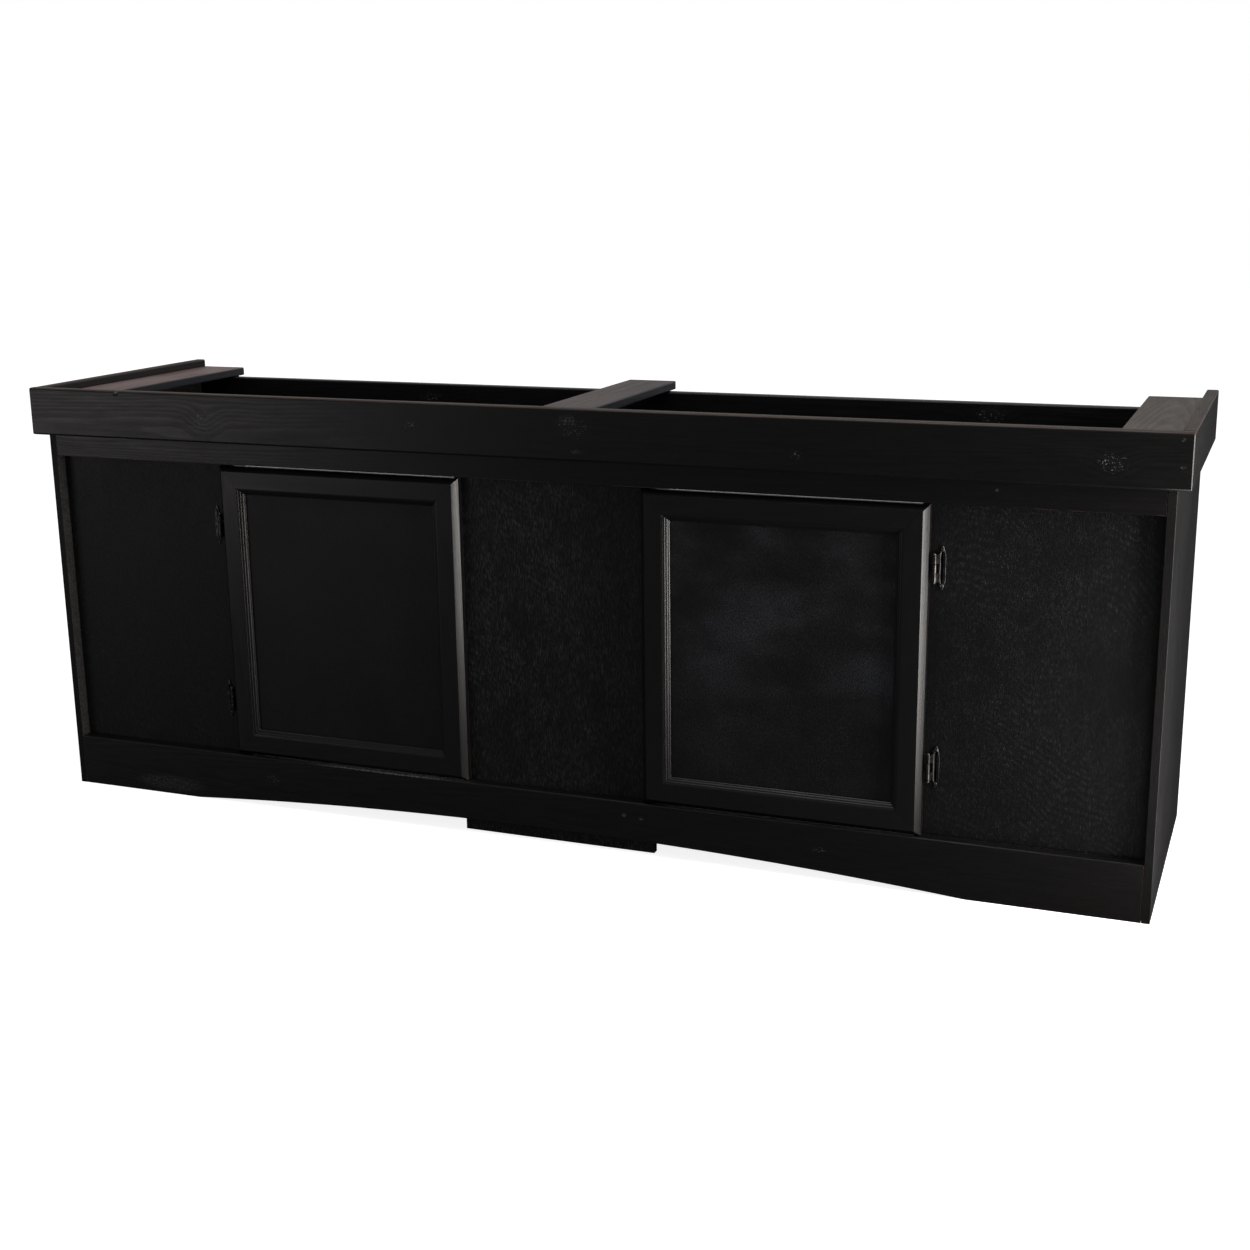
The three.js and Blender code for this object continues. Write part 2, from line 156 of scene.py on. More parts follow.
class NodeBench:
    """A node tree under construction, for a material or for the world."""

    def __init__(self, tree: bpy.types.NodeTree) -> None:
        """Starts with the tree emptied."""
        self.tree = tree
        self.tree.nodes.clear()

    def node(
        self,
        kind: str,
        settings: Mapping[str, Any] | None = None,
        inputs: Mapping[str | int, Any] | None = None,
    ) -> bpy.types.Node:
        """Adds a node.

        Args:
            kind: the node's type.
            settings: its properties, which are set first.
            inputs: for its sockets, by name or number: a Wire to link, or a value.

        Returns:
            The node.
        """
        made = self.tree.nodes.new(kind)
        for key, value in (settings or {}).items():
            setattr(made, key, value)
        for key, value in (inputs or {}).items():
            self.feed(made.inputs[key], value)
        return made

    def feed(self, socket: bpy.types.NodeSocket, value: Any) -> None:
        """Links a Wire to a socket, or sets the socket's value.

        Args:
            socket: the socket to feed.
            value: a Wire, a number, or a colour or vector as three numbers.
        """
        if isinstance(value, Wire):
            self.tree.links.new(value.socket, socket)
        elif socket.type == "RGBA":
            socket.default_value = (*value, 1.0)
        else:
            socket.default_value = value

    def wire(self, made: bpy.types.Node, output: str | int = 0) -> Wire:
        """One output of a node."""
        return Wire(self, made.outputs[output])

    def math(self, operation: str, *values: Wire | float) -> Wire:
        """A Math node on up to three values.

        Args:
            operation: the node's operation.
            values: its inputs in order.

        Returns:
            The result.
        """
        settings = {"operation": operation}
        return self.wire(self.node("ShaderNodeMath", settings, dict(enumerate(values))))


class Shader(NodeBench):
    """A node material under construction round one Principled surface."""

    def __init__(self, name: str) -> None:
        """Starts an empty material.

        Args:
            name: the material's name.
        """
        self.material = bpy.data.materials.new(name)
        self.material.use_nodes = True
        super().__init__(self.material.node_tree)
        self.surface = self.node("ShaderNodeBsdfPrincipled")
        self.node("ShaderNodeOutputMaterial", inputs={"Surface": self.wire(self.surface)})

    def position(self) -> tuple[Wire, Wire, Wire]:
        """The surface point in Object coordinates, as three numbers in metres."""
        place = self.wire(self.node("ShaderNodeTexCoord"), "Object")
        split = self.node("ShaderNodeSeparateXYZ", inputs={0: place})
        return self.wire(split, 0), self.wire(split, 1), self.wire(split, 2)

    def noise(
        self,
        point: Sequence[Wire | float],
        detail: float = 2.0,
        roughness: float = 0.5,
    ) -> Wire:
        """Smooth noise from 0 to 1, with features about one unit across.

        Args:
            point: where to read it, already scaled.
            detail: how many finer octaves it has.
            roughness: how strong they are.

        Returns:
            The noise.
        """
        joined = self.node("ShaderNodeCombineXYZ", inputs=dict(enumerate(point)))
        inputs = {
            "Vector": self.wire(joined),
            "Scale": 1.0,
            "Detail": detail,
            "Roughness": roughness,
        }
        return self.wire(self.node("ShaderNodeTexNoise", inputs=inputs))

    def mix(self, share: Wire | float, first: Wire | Colour, second: Wire | Colour) -> Wire:
        """Mixes two colours.

        Args:
            share: how much of the second there is, from 0 to 1.
            first: the colour at 0.
            second: the colour at 1.

        Returns:
            The mixed colour.
        """
        settings = {"data_type": "RGBA", "clamp_factor": True}
        mixed = self.node("ShaderNodeMix", settings, {0: share, 6: first, 7: second})
        return self.wire(mixed, 2)

    def finish(
        self,
        colour: Wire | Colour,
        roughness: Wire | float,
        relief: Wire,
        depth: float,
        constants: Mapping[str, float],
    ) -> bpy.types.Material:
        """Connects the surface and closes the material.

        Args:
            colour: the base colour.
            roughness: the roughness.
            relief: the height of the surface, about 0 to 1.
            depth: the real height of 1 unit of relief, in metres.
            constants: values for other sockets of the surface.

        Returns:
            The material.
        """
        bump = self.node("ShaderNodeBump", inputs={"Height": relief, "Distance": depth})
        self.feed(self.surface.inputs["Base Color"], colour)
        self.feed(self.surface.inputs["Roughness"], roughness)
        self.feed(self.surface.inputs["Normal"], self.wire(bump))
        for name, value in constants.items():
            self.feed(self.surface.inputs[name], value)
        return self.material


# ---------------------------------------------------------------- finishes


@dataclass(frozen=True)
class Knot:
    """A knot in a board, placed along and across its grain, in metres."""

    along: float
    across: float
    radius: float


@dataclass(frozen=True)
class Mark:
    """A pale mark on the stain, in metres: a filled nail hole, a nick, a dusty scuff, or a painted
    highlight along an edge.
    """

    along: float
    across: float
    reach_along: float
    reach_across: float
    strength: float


@dataclass(frozen=True)
class Grain:
    """How a piece of wood lies: the direction of its fibres and the one across its face."""

    along: Axis
    across: Axis

    @property
    def through(self) -> Axis:
        """The direction through the thickness."""
        return Axis(3 - self.along.value - self.across.value)

    def sort(self, values: Sequence[Any]) -> tuple[Any, Any, Any]:
        """Puts three values for X, Y and Z in the order along, across and through."""
        return values[self.along.value], values[self.across.value], values[self.through.value]


def edge_distance(place: Sequence[Wire], low: Vector, high: Vector) -> Wire:
    """How far a point on a box is from the nearest edge of that box.

    Args:
        place: the point's three coordinates.
        low: the box's lowest corner.
        high: its highest corner.

    Returns:
        The distance in metres: the second smallest of the three distances to the faces.
    """
    gaps = []
    for index in range(3):
        centre = (low[index] + high[index]) / 2
        half = (high[index] - low[index]) / 2
        gaps.append(half - abs(place[index] - centre))
    near = gaps[0].smaller(gaps[1])
    far = gaps[0].larger(gaps[1])
    return near.larger(far.smaller(gaps[2]))


@dataclass(frozen=True)
class StainedPine:
    """Black stain wiped on dressed pine: growth rings, fibres, knots and rubbed edges, with painted
    light on the tops and on the saw marks of some boards.
    """

    grain: Grain
    seed: int
    knots: tuple[Knot, ...] = ()
    marks: tuple[Mark, ...] = ()
    edge_wear: float = 0.9 * MM
    top_wear: float = 0.0
    sawn: float = 0.0
    ring: float = 3.4 * MM
    specular: float = 0.45
    gloss: float = 0.42
    relief_depth: float = 0.16 * MM
    mottle: float = 0.26
    top_tone_and_light: tuple[Colour, Colour] | None = None
    dark: Colour = (0.0028, 0.0025, 0.0027)
    light: Colour = (0.0064, 0.0055, 0.0056)
    heart_tone: Colour = (0.0088, 0.0078, 0.0074)
    chip_tone: Colour = (0.20, 0.195, 0.20)
    mark_tone: Colour = (0.22, 0.21, 0.20)
    bare: Colour = (0.105, 0.046, 0.030)
    pale_bare: Colour = (0.13, 0.066, 0.048)
    saw_mark_sheen: Colour = (0.085, 0.095, 0.130)

    def material(self, name: str, low: Vector, high: Vector) -> bpy.types.Material:
        """Builds the finish for one board.

        Args:
            name: the material's name.
            low: the board's lowest corner.
            high: its highest corner.

        Returns:
            The material.
        """
        shader = Shader(name)
        draw = Random(self.seed)
        place = shader.position()
        along, across, through = self.grain.sort(place)
        drift = [draw.uniform(-40, 40) for _ in range(4)]

        slow = shader.noise((along * 1.7 + drift[0], across * 9.0, through * 9.0), 2)
        fine = shader.noise((along * 16.0 + drift[1], across * 110.0, through * 110.0), 4)
        fibre = shader.noise((along * 26.0 + drift[2], across * 1300.0, through * 1300.0), 3, 0.6)
        cloud = shader.noise((along * 7.0 + drift[3], across * 22.0, through * 22.0), 3)

        bulge, heart, halo = self._knots(along, across)
        _, middle_across, middle_through = self.grain.sort((low + high) / 2)
        _, width, _ = self.grain.sort(high - low)
        pith_across = middle_across + draw.uniform(-0.35, 0.35) * width
        pith_through = middle_through + draw.choice((-1, 1)) * draw.uniform(0.03, 0.06)
        tilt = draw.uniform(-0.035, 0.035)
        sideways = across - pith_across + (slow - 0.5) * 0.05
        inwards = through - pith_through + along * tilt
        radius = (sideways * sideways + inwards * inwards).root()
        radius = radius + bulge + (fine - 0.5) * (0.9 * MM)
        phase = (radius / self.ring).fraction()
        late = phase.ease(0.25, 0.85) * phase.ease(1.0, 0.93)

        streak = fibre.ease(0.35, 0.72)
        tone = late * 0.34 + streak * 0.34 + cloud.ease(0.35, 0.75) * 0.34
        colour = shader.mix(tone, self.dark, self.light)
        colour = shader.mix(heart * 0.6, colour, self.heart_tone)
        nicks = shader.noise((along * 330.0, across * 420.0, through * 420.0), 3, 0.65)
        colour = shader.mix(halo * nicks.ease(0.615, 0.655), colour, self.chip_tone)
        for mark in self.marks:
            share = self._mark(along, across, mark, nicks)
            colour = shader.mix(share, colour, self.mark_tone)

        edge = edge_distance(place, low, high)
        ragged = edge + (cloud - 0.5) * (2.6 * MM) + (fine - 0.5) * (1.6 * MM)
        rubbed = ragged.ease(self.edge_wear, self.edge_wear * 0.3)
        if self.top_wear:
            crest = place[2].ease(high.z - 5 * MM, high.z - 3 * MM)
            ridge = (edge + (fine - 0.5) * (1.4 * MM)).ease(self.top_wear, self.top_wear * 0.55)
            rubbed = rubbed.larger(ridge * crest)
        worn = shader.mix(cloud.ease(0.3, 0.8), self.bare, self.pale_bare)
        colour = shader.mix(rubbed * (0.35 + 0.5 * streak), colour, worn)

        relief = late * 0.30 + fibre * 0.85 + heart * 0.6 + fine * 0.25
        roughness = self.gloss + (fine - 0.5) * self.mottle - late * 0.05 + rubbed * 0.12
        # The top face takes a paler, warmer colour: the wood's own tone there, lifted by painted
        # light from above.
        if self.top_tone_and_light:
            top = place[2].ease(high.z - 1.4 * MM, high.z - 0.5 * MM)
            top_grain_mix = streak * 0.40 + cloud.ease(0.3, 0.75) * 0.50 + late * 0.10
            colour = shader.mix(top, colour, shader.mix(top_grain_mix, *self.top_tone_and_light))
            # The sawn sides: real saw marks in the relief, and a pale bluish painted sheen on them
            # in the colour.
            teeth = ((through + along * 0.94) * 2100.0 + (fine - 0.5) * 7.0).sine() * self.sawn
            side = 1.0 - top
            relief = relief * (1.0 - top * 0.6) + teeth * side
            colour = shader.mix((teeth + self.sawn) * side * 0.5, colour, self.saw_mark_sheen)
            roughness = roughness + top * 0.18
        constants = {"Specular IOR Level": self.specular}
        return shader.finish(colour, roughness, relief, self.relief_depth, constants)

    def _knots(self, along: Wire, across: Wire) -> tuple[Wire, Wire, Wire]:
        """Works out what the knots do to the board.

        Args:
            along: the position along the grain.
            across: the position across it.

        Returns:
            How far they push the rings, the masks of their hearts and of the wood round them.
        """
        bulge = heart = halo = along * 0.0
        for knot in self.knots:
            stretched = (along - knot.along) * 0.7
            beside = across - knot.across
            distance = (stretched * stretched + beside * beside).root() / knot.radius
            bulge = bulge + (distance * distance * -0.28).exponential() * (knot.radius * 0.9)
            swirl = 0.75 + 0.25 * (distance * 11.0).sine()
            heart = heart.larger(distance.ease(1.1, 0.75) * swirl)
            halo = halo.larger(distance.ease(1.7, 0.6))
        return bulge, heart, halo

    @staticmethod
    def _mark(along: Wire, across: Wire, mark: Mark, nicks: Wire) -> Wire:
        """The strength of one pale mark at a point."""
        side = (along - mark.along) / mark.reach_along
        rise = (across - mark.across) / mark.reach_across
        inside = (side * side + rise * rise).root().ease(1.0, 0.45)
        return inside * nicks.ease(0.40, 0.62) * mark.strength


@dataclass(frozen=True)
class StainedPly:
    """Black stain on open-grained plywood: short pale pores in a wavy figure, plies at the edge."""

    grain: Grain
    seed: int
    pores: float = 1.0
    figure: float = 1.0
    haze: float = 0.0
    pale_inside: float = 0.0
    run: float = 215.0
    layers: float = 5.0
    specular: float = 0.4
    gloss: float = 0.46
    dark: Colour = (0.0028, 0.0026, 0.0029)
    fleck: Colour = (0.052, 0.051, 0.055)
    film_and_sheen_tone: Colour = (0.037, 0.040, 0.048)
    ply: Colour = (0.0055, 0.0052, 0.0052)
    glue: Colour = (0.0024, 0.0022, 0.0022)
    splinter: Colour = (0.030, 0.028, 0.028)
    inside_pale_tone: Colour = (0.165, 0.160, 0.155)
    rubbed_tone: Colour = (0.070, 0.060, 0.055)

    def material(self, name: str, low: Vector, high: Vector) -> bpy.types.Material:
        """Builds the finish for one sheet.

        Args:
            name: the material's name.
            low: the sheet's lowest corner.
            high: its highest corner.

        Returns:
            The material.
        """
        shader = Shader(name)
        draw = Random(self.seed)
        place = shader.position()
        along, across, through = self.grain.sort(place)
        drift = [draw.uniform(-40, 40) for _ in range(4)]

        bend = shader.noise((along * 5.0 + drift[0], across * 11.0, through), 2)
        lean = across + (bend - 0.5) * 0.016
        pore = shader.noise((lean * 1450.0, along * self.run + drift[1], through * 1250.0), 2, 0.6)
        clump = shader.noise((lean * 520.0 + drift[0], along * self.run * 0.6, through * 520.0), 2)
        hair = shader.noise((lean * 1900.0, along * 60.0 + drift[2], through * 1900.0), 2)
        area = shader.noise((across * 10.0 + drift[3], along * 6.0, through), 3, 0.55)
        patch = shader.noise((across * 55.0 + drift[2], along * 30.0, through), 2)

        wave = (along * 560.0 + across * 260.0 + bend * 55.0 + patch * 6.0).sine() * 0.5 + 0.5
        wavy = area.ease(0.42, 0.62) * self.figure
        ribbon = 1.0 - wavy * (0.55 - 0.55 * wave)
        spots = pore.ease(0.47, 0.66) * (0.35 + 0.65 * area.ease(0.32, 0.62)) * ribbon
        spots = spots * (0.55 + 0.45 * patch.ease(0.3, 0.7))
        spots = spots * (0.50 + 0.85 * clump.ease(0.40, 0.62))
        tone = spots * self.pores + hair.ease(0.45, 0.8) * 0.14 + area * 0.08
        colour = shader.mix(tone, self.dark, self.fleck)
        # A pale bluish film over the pores: dust, partly a painted sheen.
        if self.haze:
            film = self._film(shader, place, drift, (low.z + high.z) / 2, pore)
            colour = shader.mix(film * self.haze, colour, self.film_and_sheen_tone)

        _, _, thickness = self.grain.sort(high - low)
        _, _, face = self.grain.sort(low)
        layer = ((through - face) * (self.layers / thickness)).fraction()
        seam = layer.ease(0.16, 0.04).larger(layer.ease(0.84, 0.96))
        edge = edge_distance(place, low, high)
        inset = abs(through - (face + thickness / 2))
        on_edge = inset.ease(thickness / 2 - 0.25 * MM, thickness / 2 - 0.9 * MM)
        speckle = shader.noise((along * 420.0, across * 420.0, through * 900.0), 3, 0.6)
        plies = shader.mix(seam * 0.7, self.ply, self.glue)
        plies = shader.mix(speckle.ease(0.54, 0.68) * 0.4, plies, self.splinter)
        colour = shader.mix(on_edge, colour, plies)
        # The inner faces are made paler, in specks.
        if self.pale_inside:
            middle = abs(low.x + high.x) / 2
            inner = abs(place[0]).ease(middle + 1 * MM, middle - 1 * MM) * (1.0 - on_edge)
            thin = inner * (0.25 + 0.75 * speckle.ease(0.38, 0.62)) * self.pale_inside
            colour = shader.mix(thin, colour, self.inside_pale_tone)
        rubbed = (edge + (patch - 0.5) * (2.0 * MM)).ease(0.7 * MM, 0.1 * MM)
        colour = shader.mix(rubbed * 0.15, colour, self.rubbed_tone)

        relief = hair * 0.35 - spots * 0.9 * self.pores + speckle * on_edge * 0.6
        roughness = self.gloss + spots * 0.20 + (area - 0.5) * 0.12 + on_edge * 0.03
        constants = {"Specular IOR Level": self.specular}
        return shader.finish(colour, roughness, relief, 0.22 * MM, constants)

    @staticmethod
    def _film(
        shader: Shader, place: Sequence[Wire], drift: Sequence[float], middle: float, pore: Wire
    ) -> Wire:
        """Works out the smeared banks of dust film on an upright sheet, partly a painted sheen.

        Args:
            shader: the material that asks.
            place: the point's three coordinates.
            drift: shifts that pick the patterns.
            middle: the height of the sheet's middle, below which the film is weaker.
            pore: the pattern of the pores, which catch it.

        Returns:
            The strength of the film.
        """
        x, _, z = place
        bank = z.ease(middle - 160 * MM, middle + 40 * MM)
        smoke = shader.noise((x * 7.5 + drift[0], z * 11.0, 0.0), 2, 0.5)
        smear = shader.noise((x * 45.0 + z * 30.0, z * 26.0, 0.0), 3, 0.6)
        grit = shader.noise((x * 520.0, z * 330.0 + drift[1], 0.0), 2, 0.7)
        film = smoke.ease(0.36, 0.78) * (0.30 + 0.70 * bank) * (0.35 + 0.65 * smear)
        return film * (0.12 + 1.3 * grit.ease(0.42, 0.60) + 0.8 * pore.ease(0.40, 0.66))


@dataclass(frozen=True)
class HingeMetal:
    """Darkened steel with a soft polish: fine scratches, brighter rubbed patches, and painted
    highlights at the ends of each part.
    """

    seed: int
    dark: Colour = (0.048, 0.046, 0.045)
    light: Colour = (0.20, 0.19, 0.185)

    def material(self, name: str, low: Vector, high: Vector) -> bpy.types.Material:
        """Builds the finish; low and high are the corners of the piece."""
        shader = Shader(name)
        shift = Random(self.seed).uniform(-20, 20)
        x, y, z = shader.position()
        patina = shader.noise((x * 160.0 + shift, y * 160.0, z * 120.0), 3, 0.6)
        scratch = shader.noise((x * 2600.0, y * 2600.0, z * 180.0 + shift), 2)
        height = (z - low.z) / max(high.z - low.z, MM)
        # The top and bottom ends of each part are made lighter: painted highlights.
        tip_highlight = abs(height - 0.5).ease(0.36, 0.5)
        shade = patina.ease(0.35, 0.7) * 0.6 + tip_highlight * 0.35
        colour = shader.mix(shade, self.dark, self.light)
        roughness = 0.22 + patina * 0.12 + scratch * 0.08
        relief = scratch * 0.5 + patina * 0.5
        return shader.finish(colour, roughness, relief, 0.04 * MM, {"Metallic": 1.0})


@dataclass(frozen=True)
class CatchPlastic:
    """Moulded brown plastic with a fine spark texture and dusty corners."""

    seed: int
    dark: Colour = (0.030, 0.018, 0.012)
    light: Colour = (0.052, 0.034, 0.024)
    dust: Colour = (0.12, 0.085, 0.06)

    def material(self, name: str, low: Vector, high: Vector) -> bpy.types.Material:
        """Builds the finish; low and high are the corners of the piece."""
        shader = Shader(name)
        shift = Random(self.seed).uniform(-20, 20)
        place = shader.position()
        x, y, z = place
        spark = shader.noise((x * 2400.0 + shift, y * 2400.0, z * 2400.0), 2)
        dust = shader.noise((x * 90.0, y * 90.0 + shift, z * 90.0), 3)
        edge = edge_distance(place, low, high)
        rubbed = (edge + (dust - 0.5) * (1.5 * MM)).ease(1.1 * MM, 0.2 * MM)
        colour = shader.mix(dust, self.dark, self.light)
        colour = shader.mix(rubbed * 0.5, colour, self.dust)
        roughness = 0.48 + spark * 0.2
        constants = {"Specular IOR Level": 0.4}
        return shader.finish(colour, roughness, spark, 0.05 * MM, constants)


@dataclass(frozen=True)
class StrikeSteel:
    """Zinc-plated steel: brushed along its length, with faint crystals."""

    seed: int
    dark: Colour = (0.40, 0.40, 0.39)
    light: Colour = (0.62, 0.62, 0.60)

    def material(self, name: str, low: Vector, high: Vector) -> bpy.types.Material:
        """Builds the finish; low and high, the corners of the piece, are not used."""
        shader = Shader(name)
        shift = Random(self.seed).uniform(-20, 20)
        x, y, z = shader.position()
        brushed = shader.noise((x * 4200.0, y * 4200.0, z * 60.0 + shift), 2)
        crystal = shader.noise((x * 240.0 + shift, y * 240.0, z * 240.0), 2)
        colour = shader.mix(crystal, self.dark, self.light)
        roughness = 0.28 + brushed * 0.18
        return shader.finish(colour, roughness, brushed, 0.03 * MM, {"Metallic": 1.0})


Finish = StainedPine | StainedPly | HingeMetal | CatchPlastic | StrikeSteel


# ---------------------------------------------------------------- shaping


class Stock:
    """A closed mesh being shaped with bmesh operators, in place and in metres."""

    def __init__(self) -> None:
        """Starts with nothing."""
        self.mesh = bmesh.new()

    def everything(self) -> list[Any]:
        """All vertices, edges and faces."""
        return [*self.mesh.verts, *self.mesh.edges, *self.mesh.faces]

    def block(self, low: Vector, high: Vector) -> Stock:
        """Adds a square block between two corners."""
        made = bmesh.ops.create_cube(self.mesh, size=1.0)["verts"]
        bmesh.ops.scale(self.mesh, vec=high - low, verts=made)
        bmesh.ops.translate(self.mesh, vec=(low + high) / 2, verts=made)
        return self

    def cross_cut(self, axis: Axis, places: Iterable[float], above: float = -math.inf) -> None:
        """Adds edge loops across the piece.

        Args:
            axis: the direction that the cuts are square to.
            places: where they are along it.
            above: the height below which nothing is cut.
        """
        for place in places:
            geometry = [
                item
                for item in self.everything()
                if all(v.co.z > above for v in getattr(item, "verts", [item]))
            ]
            bmesh.ops.bisect_plane(
                self.mesh, geom=geometry, plane_co=axis.unit * place, plane_no=axis.unit
            )

    def sharp(
        self, wanted: Callable[[bmesh.types.BMEdge], bool] = lambda edge: True
    ) -> list[bmesh.types.BMEdge]:
        """The sharp edges, or those of them that a test accepts."""
        return [
            edge
            for edge in self.mesh.edges
            if len(edge.link_faces) == 2 and edge.calc_face_angle(0.0) > CORNER and wanted(edge)
        ]

    def ease(self, edges: Sequence[bmesh.types.BMEdge], radius: float, segments: int = 3) -> None:
        """Rounds edges.

        Args:
            edges: the edges to round.
            radius: the width that the rounding takes from each face.
            segments: how many faces it has.
        """
        self._bevel(edges, radius, segments, "EDGES")

    def round_corners(
        self, corners: Sequence[bmesh.types.BMVert], radius: float, segments: int = 3
    ) -> None:
        """Rounds the corners of a flat outline."""
        self._bevel(corners, radius, segments, "VERTICES")

    def _bevel(self, parts: Sequence[Any], radius: float, segments: int, affect: str) -> None:
        """Bevels edges or vertices with a round profile."""
        bmesh.ops.bevel(
            self.mesh,
            geom=list(parts),
            offset=radius,
            offset_type="OFFSET",
            segments=segments,
            profile=0.5,
            affect=affect,
            clamp_overlap=True,
            material=-1,
        )

    def recess(self, rim: float, lean: float, depth: float) -> None:
        """Sinks the middle of the largest face that looks to -Y.

        Args:
            rim: the width of the rim that stays.
            lean: how far the wall of the recess leans inwards.
            depth: how deep the recess is.
        """
        for width, fall in ((rim, 0.0), (lean, depth)):
            front = [face for face in self.mesh.faces if face.normal.y < -ALIGNED]
            middle = max(front, key=lambda face: face.calc_area())
            bmesh.ops.inset_region(self.mesh, faces=[middle], thickness=width, depth=-fall)

    def extrude_faces(self, faces: Sequence[bmesh.types.BMFace], by: Vector) -> None:
        """Draws flat faces out into a closed solid."""
        grown = bmesh.ops.extrude_face_region(self.mesh, geom=list(faces))["geom"]
        moved = [item for item in grown if isinstance(item, bmesh.types.BMVert)]
        bmesh.ops.translate(self.mesh, vec=by, verts=moved)
        bmesh.ops.recalc_face_normals(self.mesh, faces=self.mesh.faces[:])

    def plate(self, outline: Sequence[Vector], by: Vector, radius: float = 0.0) -> Stock:
        """Adds a flat plate.

        Args:
            outline: the corners of its outline.
            by: its thickness, as the way from one face to the other.
            radius: how far the corners of the outline are rounded.

        Returns:
            The stock itself.
        """
        part = Stock()
        corners = [part.mesh.verts.new(corner) for corner in outline]
        part.mesh.faces.new(corners)
        if radius:
            part.round_corners(corners, radius)
        part.extrude_faces(part.mesh.faces[:], by)
        return self.join(part)

    def lathe(self, profile: Sequence[tuple[float, float]], axis: Vector, steps: int) -> Stock:
        """Adds a turned solid round a line through the origin.

        Args:
            profile: radius and height of each point, as a loop or from pole to pole.
            axis: the line's direction.
            steps: how many faces go round.

        Returns:
            The stock itself.
        """
        part = Stock()
        points = [part.mesh.verts.new((radius, 0.0, height)) for radius, height in profile]
        pairs = list(zip(points, points[1:]))
        if profile[0][0] > 0.0:
            pairs.append((points[-1], points[0]))
        edges = [part.mesh.edges.new(pair) for pair in pairs]
        bmesh.ops.spin(
            part.mesh,
            geom=[*points, *edges],
            cent=(0.0, 0.0, 0.0),
            axis=(0.0, 0.0, 1.0),
            angle=math.tau,
            steps=steps,
            use_merge=True,
        )
        bmesh.ops.remove_doubles(part.mesh, verts=part.mesh.verts[:], dist=MERGE)
        bmesh.ops.recalc_face_normals(part.mesh, faces=part.mesh.faces[:])
        turn = Vector((0.0, 0.0, 1.0)).rotation_difference(axis).to_matrix().to_4x4()
        return self.join(part.moved(turn))

    def moved(self, matrix: Matrix) -> Stock:
        """Turns and shifts the whole stock."""
        bmesh.ops.transform(self.mesh, matrix=matrix, verts=self.mesh.verts[:])
        return self

    def join(self, other: Stock) -> Stock:
        """Takes in another stock."""
        holder = bpy.data.meshes.new("holder")
        other.mesh.to_mesh(holder)
        self.mesh.from_mesh(holder)
        bpy.data.meshes.remove(holder)
        other.mesh.free()
        return self

    def rub(self, amount: float, pitch: float, seed: int) -> None:
        """Takes a little off the rounded edges, unevenly, as sanding does.

        Args:
            amount: the most that is taken off.
            pitch: the distance over which it varies.
            seed: which of many patterns it follows.
        """
        self.mesh.normal_update()
        shift = Vector((seed * 3.7, seed * 1.3, seed * 2.1))
        for vertex in self.mesh.verts:
            if max(abs(part) for part in vertex.normal) < ALIGNED:
                share = 0.5 + 0.5 * noise.noise(vertex.co / pitch + shift)
                vertex.co -= vertex.normal * (amount * share)

    def dent(self, centre: Vector, radius: float, depth: Vector) -> None:
        """Pushes the vertices near a point inwards, most at the point itself."""
        for vertex in self.mesh.verts:
            share = 1.0 - (vertex.co - centre).length / radius
            if share > 0.0:
                vertex.co += depth * min(1.0, 1.6 * share)

    def deliver(self, piece: Piece, smooth_all: bool = False) -> bpy.types.Object:
        """Makes the finished object, dressed and riding on its body.

        Args:
            piece: what it is.
            smooth_all: True where even faces square to the axes are part of a curve.

        Returns:
            The object.
        """
        data = bpy.data.meshes.new(piece.name)
        self.mesh.to_mesh(data)
        self.mesh.free()
        data.set_sharp_from_angle(angle=CREASE)
        for polygon in data.polygons:
            squareness = max(abs(part) for part in polygon.normal)
            polygon.use_smooth = smooth_all or squareness < SQUARE_ON
        made = add_object(piece.name, data)
        low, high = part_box(piece.node)
        data.materials.append(piece.finish.material(piece.name, low, high))
        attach(made, piece.body)
        if piece.stands_for:
            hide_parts(piece.node)
        log.info("%s: %d faces", piece.name, len(data.polygons))
        return made


@dataclass(frozen=True)
class Piece:
    """What a finished piece is: its solid, finish, material slot and body."""

    node: str
    finish: Finish
    slot: str = "stained_pine"
    body: str = "cabinet"
    extra: str = ""

    @property
    def name(self) -> str:
        """The object's name."""
        return f"{self.node}_{self.extra or 'finished'}"

    @property
    def stands_for(self) -> bool:
        """True unless it is a fitting that goes with the piece made for that solid."""
        return not self.extra


def add_object(name: str, data: bpy.types.ID) -> bpy.types.Object:
    """Adds an object to the scene, at the origin."""
    made = bpy.data.objects.new(name, data)
    bpy.context.scene.collection.objects.link(made)
    return made


def inner_box(node: str) -> tuple[Vector, Vector]:
    """The box of a solid, drawn in by the skin."""
    low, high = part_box(node)
    skin = Vector((SKIN, SKIN, SKIN))
    return low + skin, high - skin


def parallel(edge: bmesh.types.BMEdge, axis: Axis) -> bool:
    """True if an edge runs along an axis."""
    way = edge.verts[1].co - edge.verts[0].co
    return abs(way.dot(axis.unit)) > ALIGNED * way.length


def spread(low: float, high: float, pitch: float) -> list[float]:
    """Evenly spaced places strictly between two ends, about a pitch apart."""
    count = max(1, round((high - low) / pitch))
    return [low + (high - low) * index / count for index in range(1, count)]


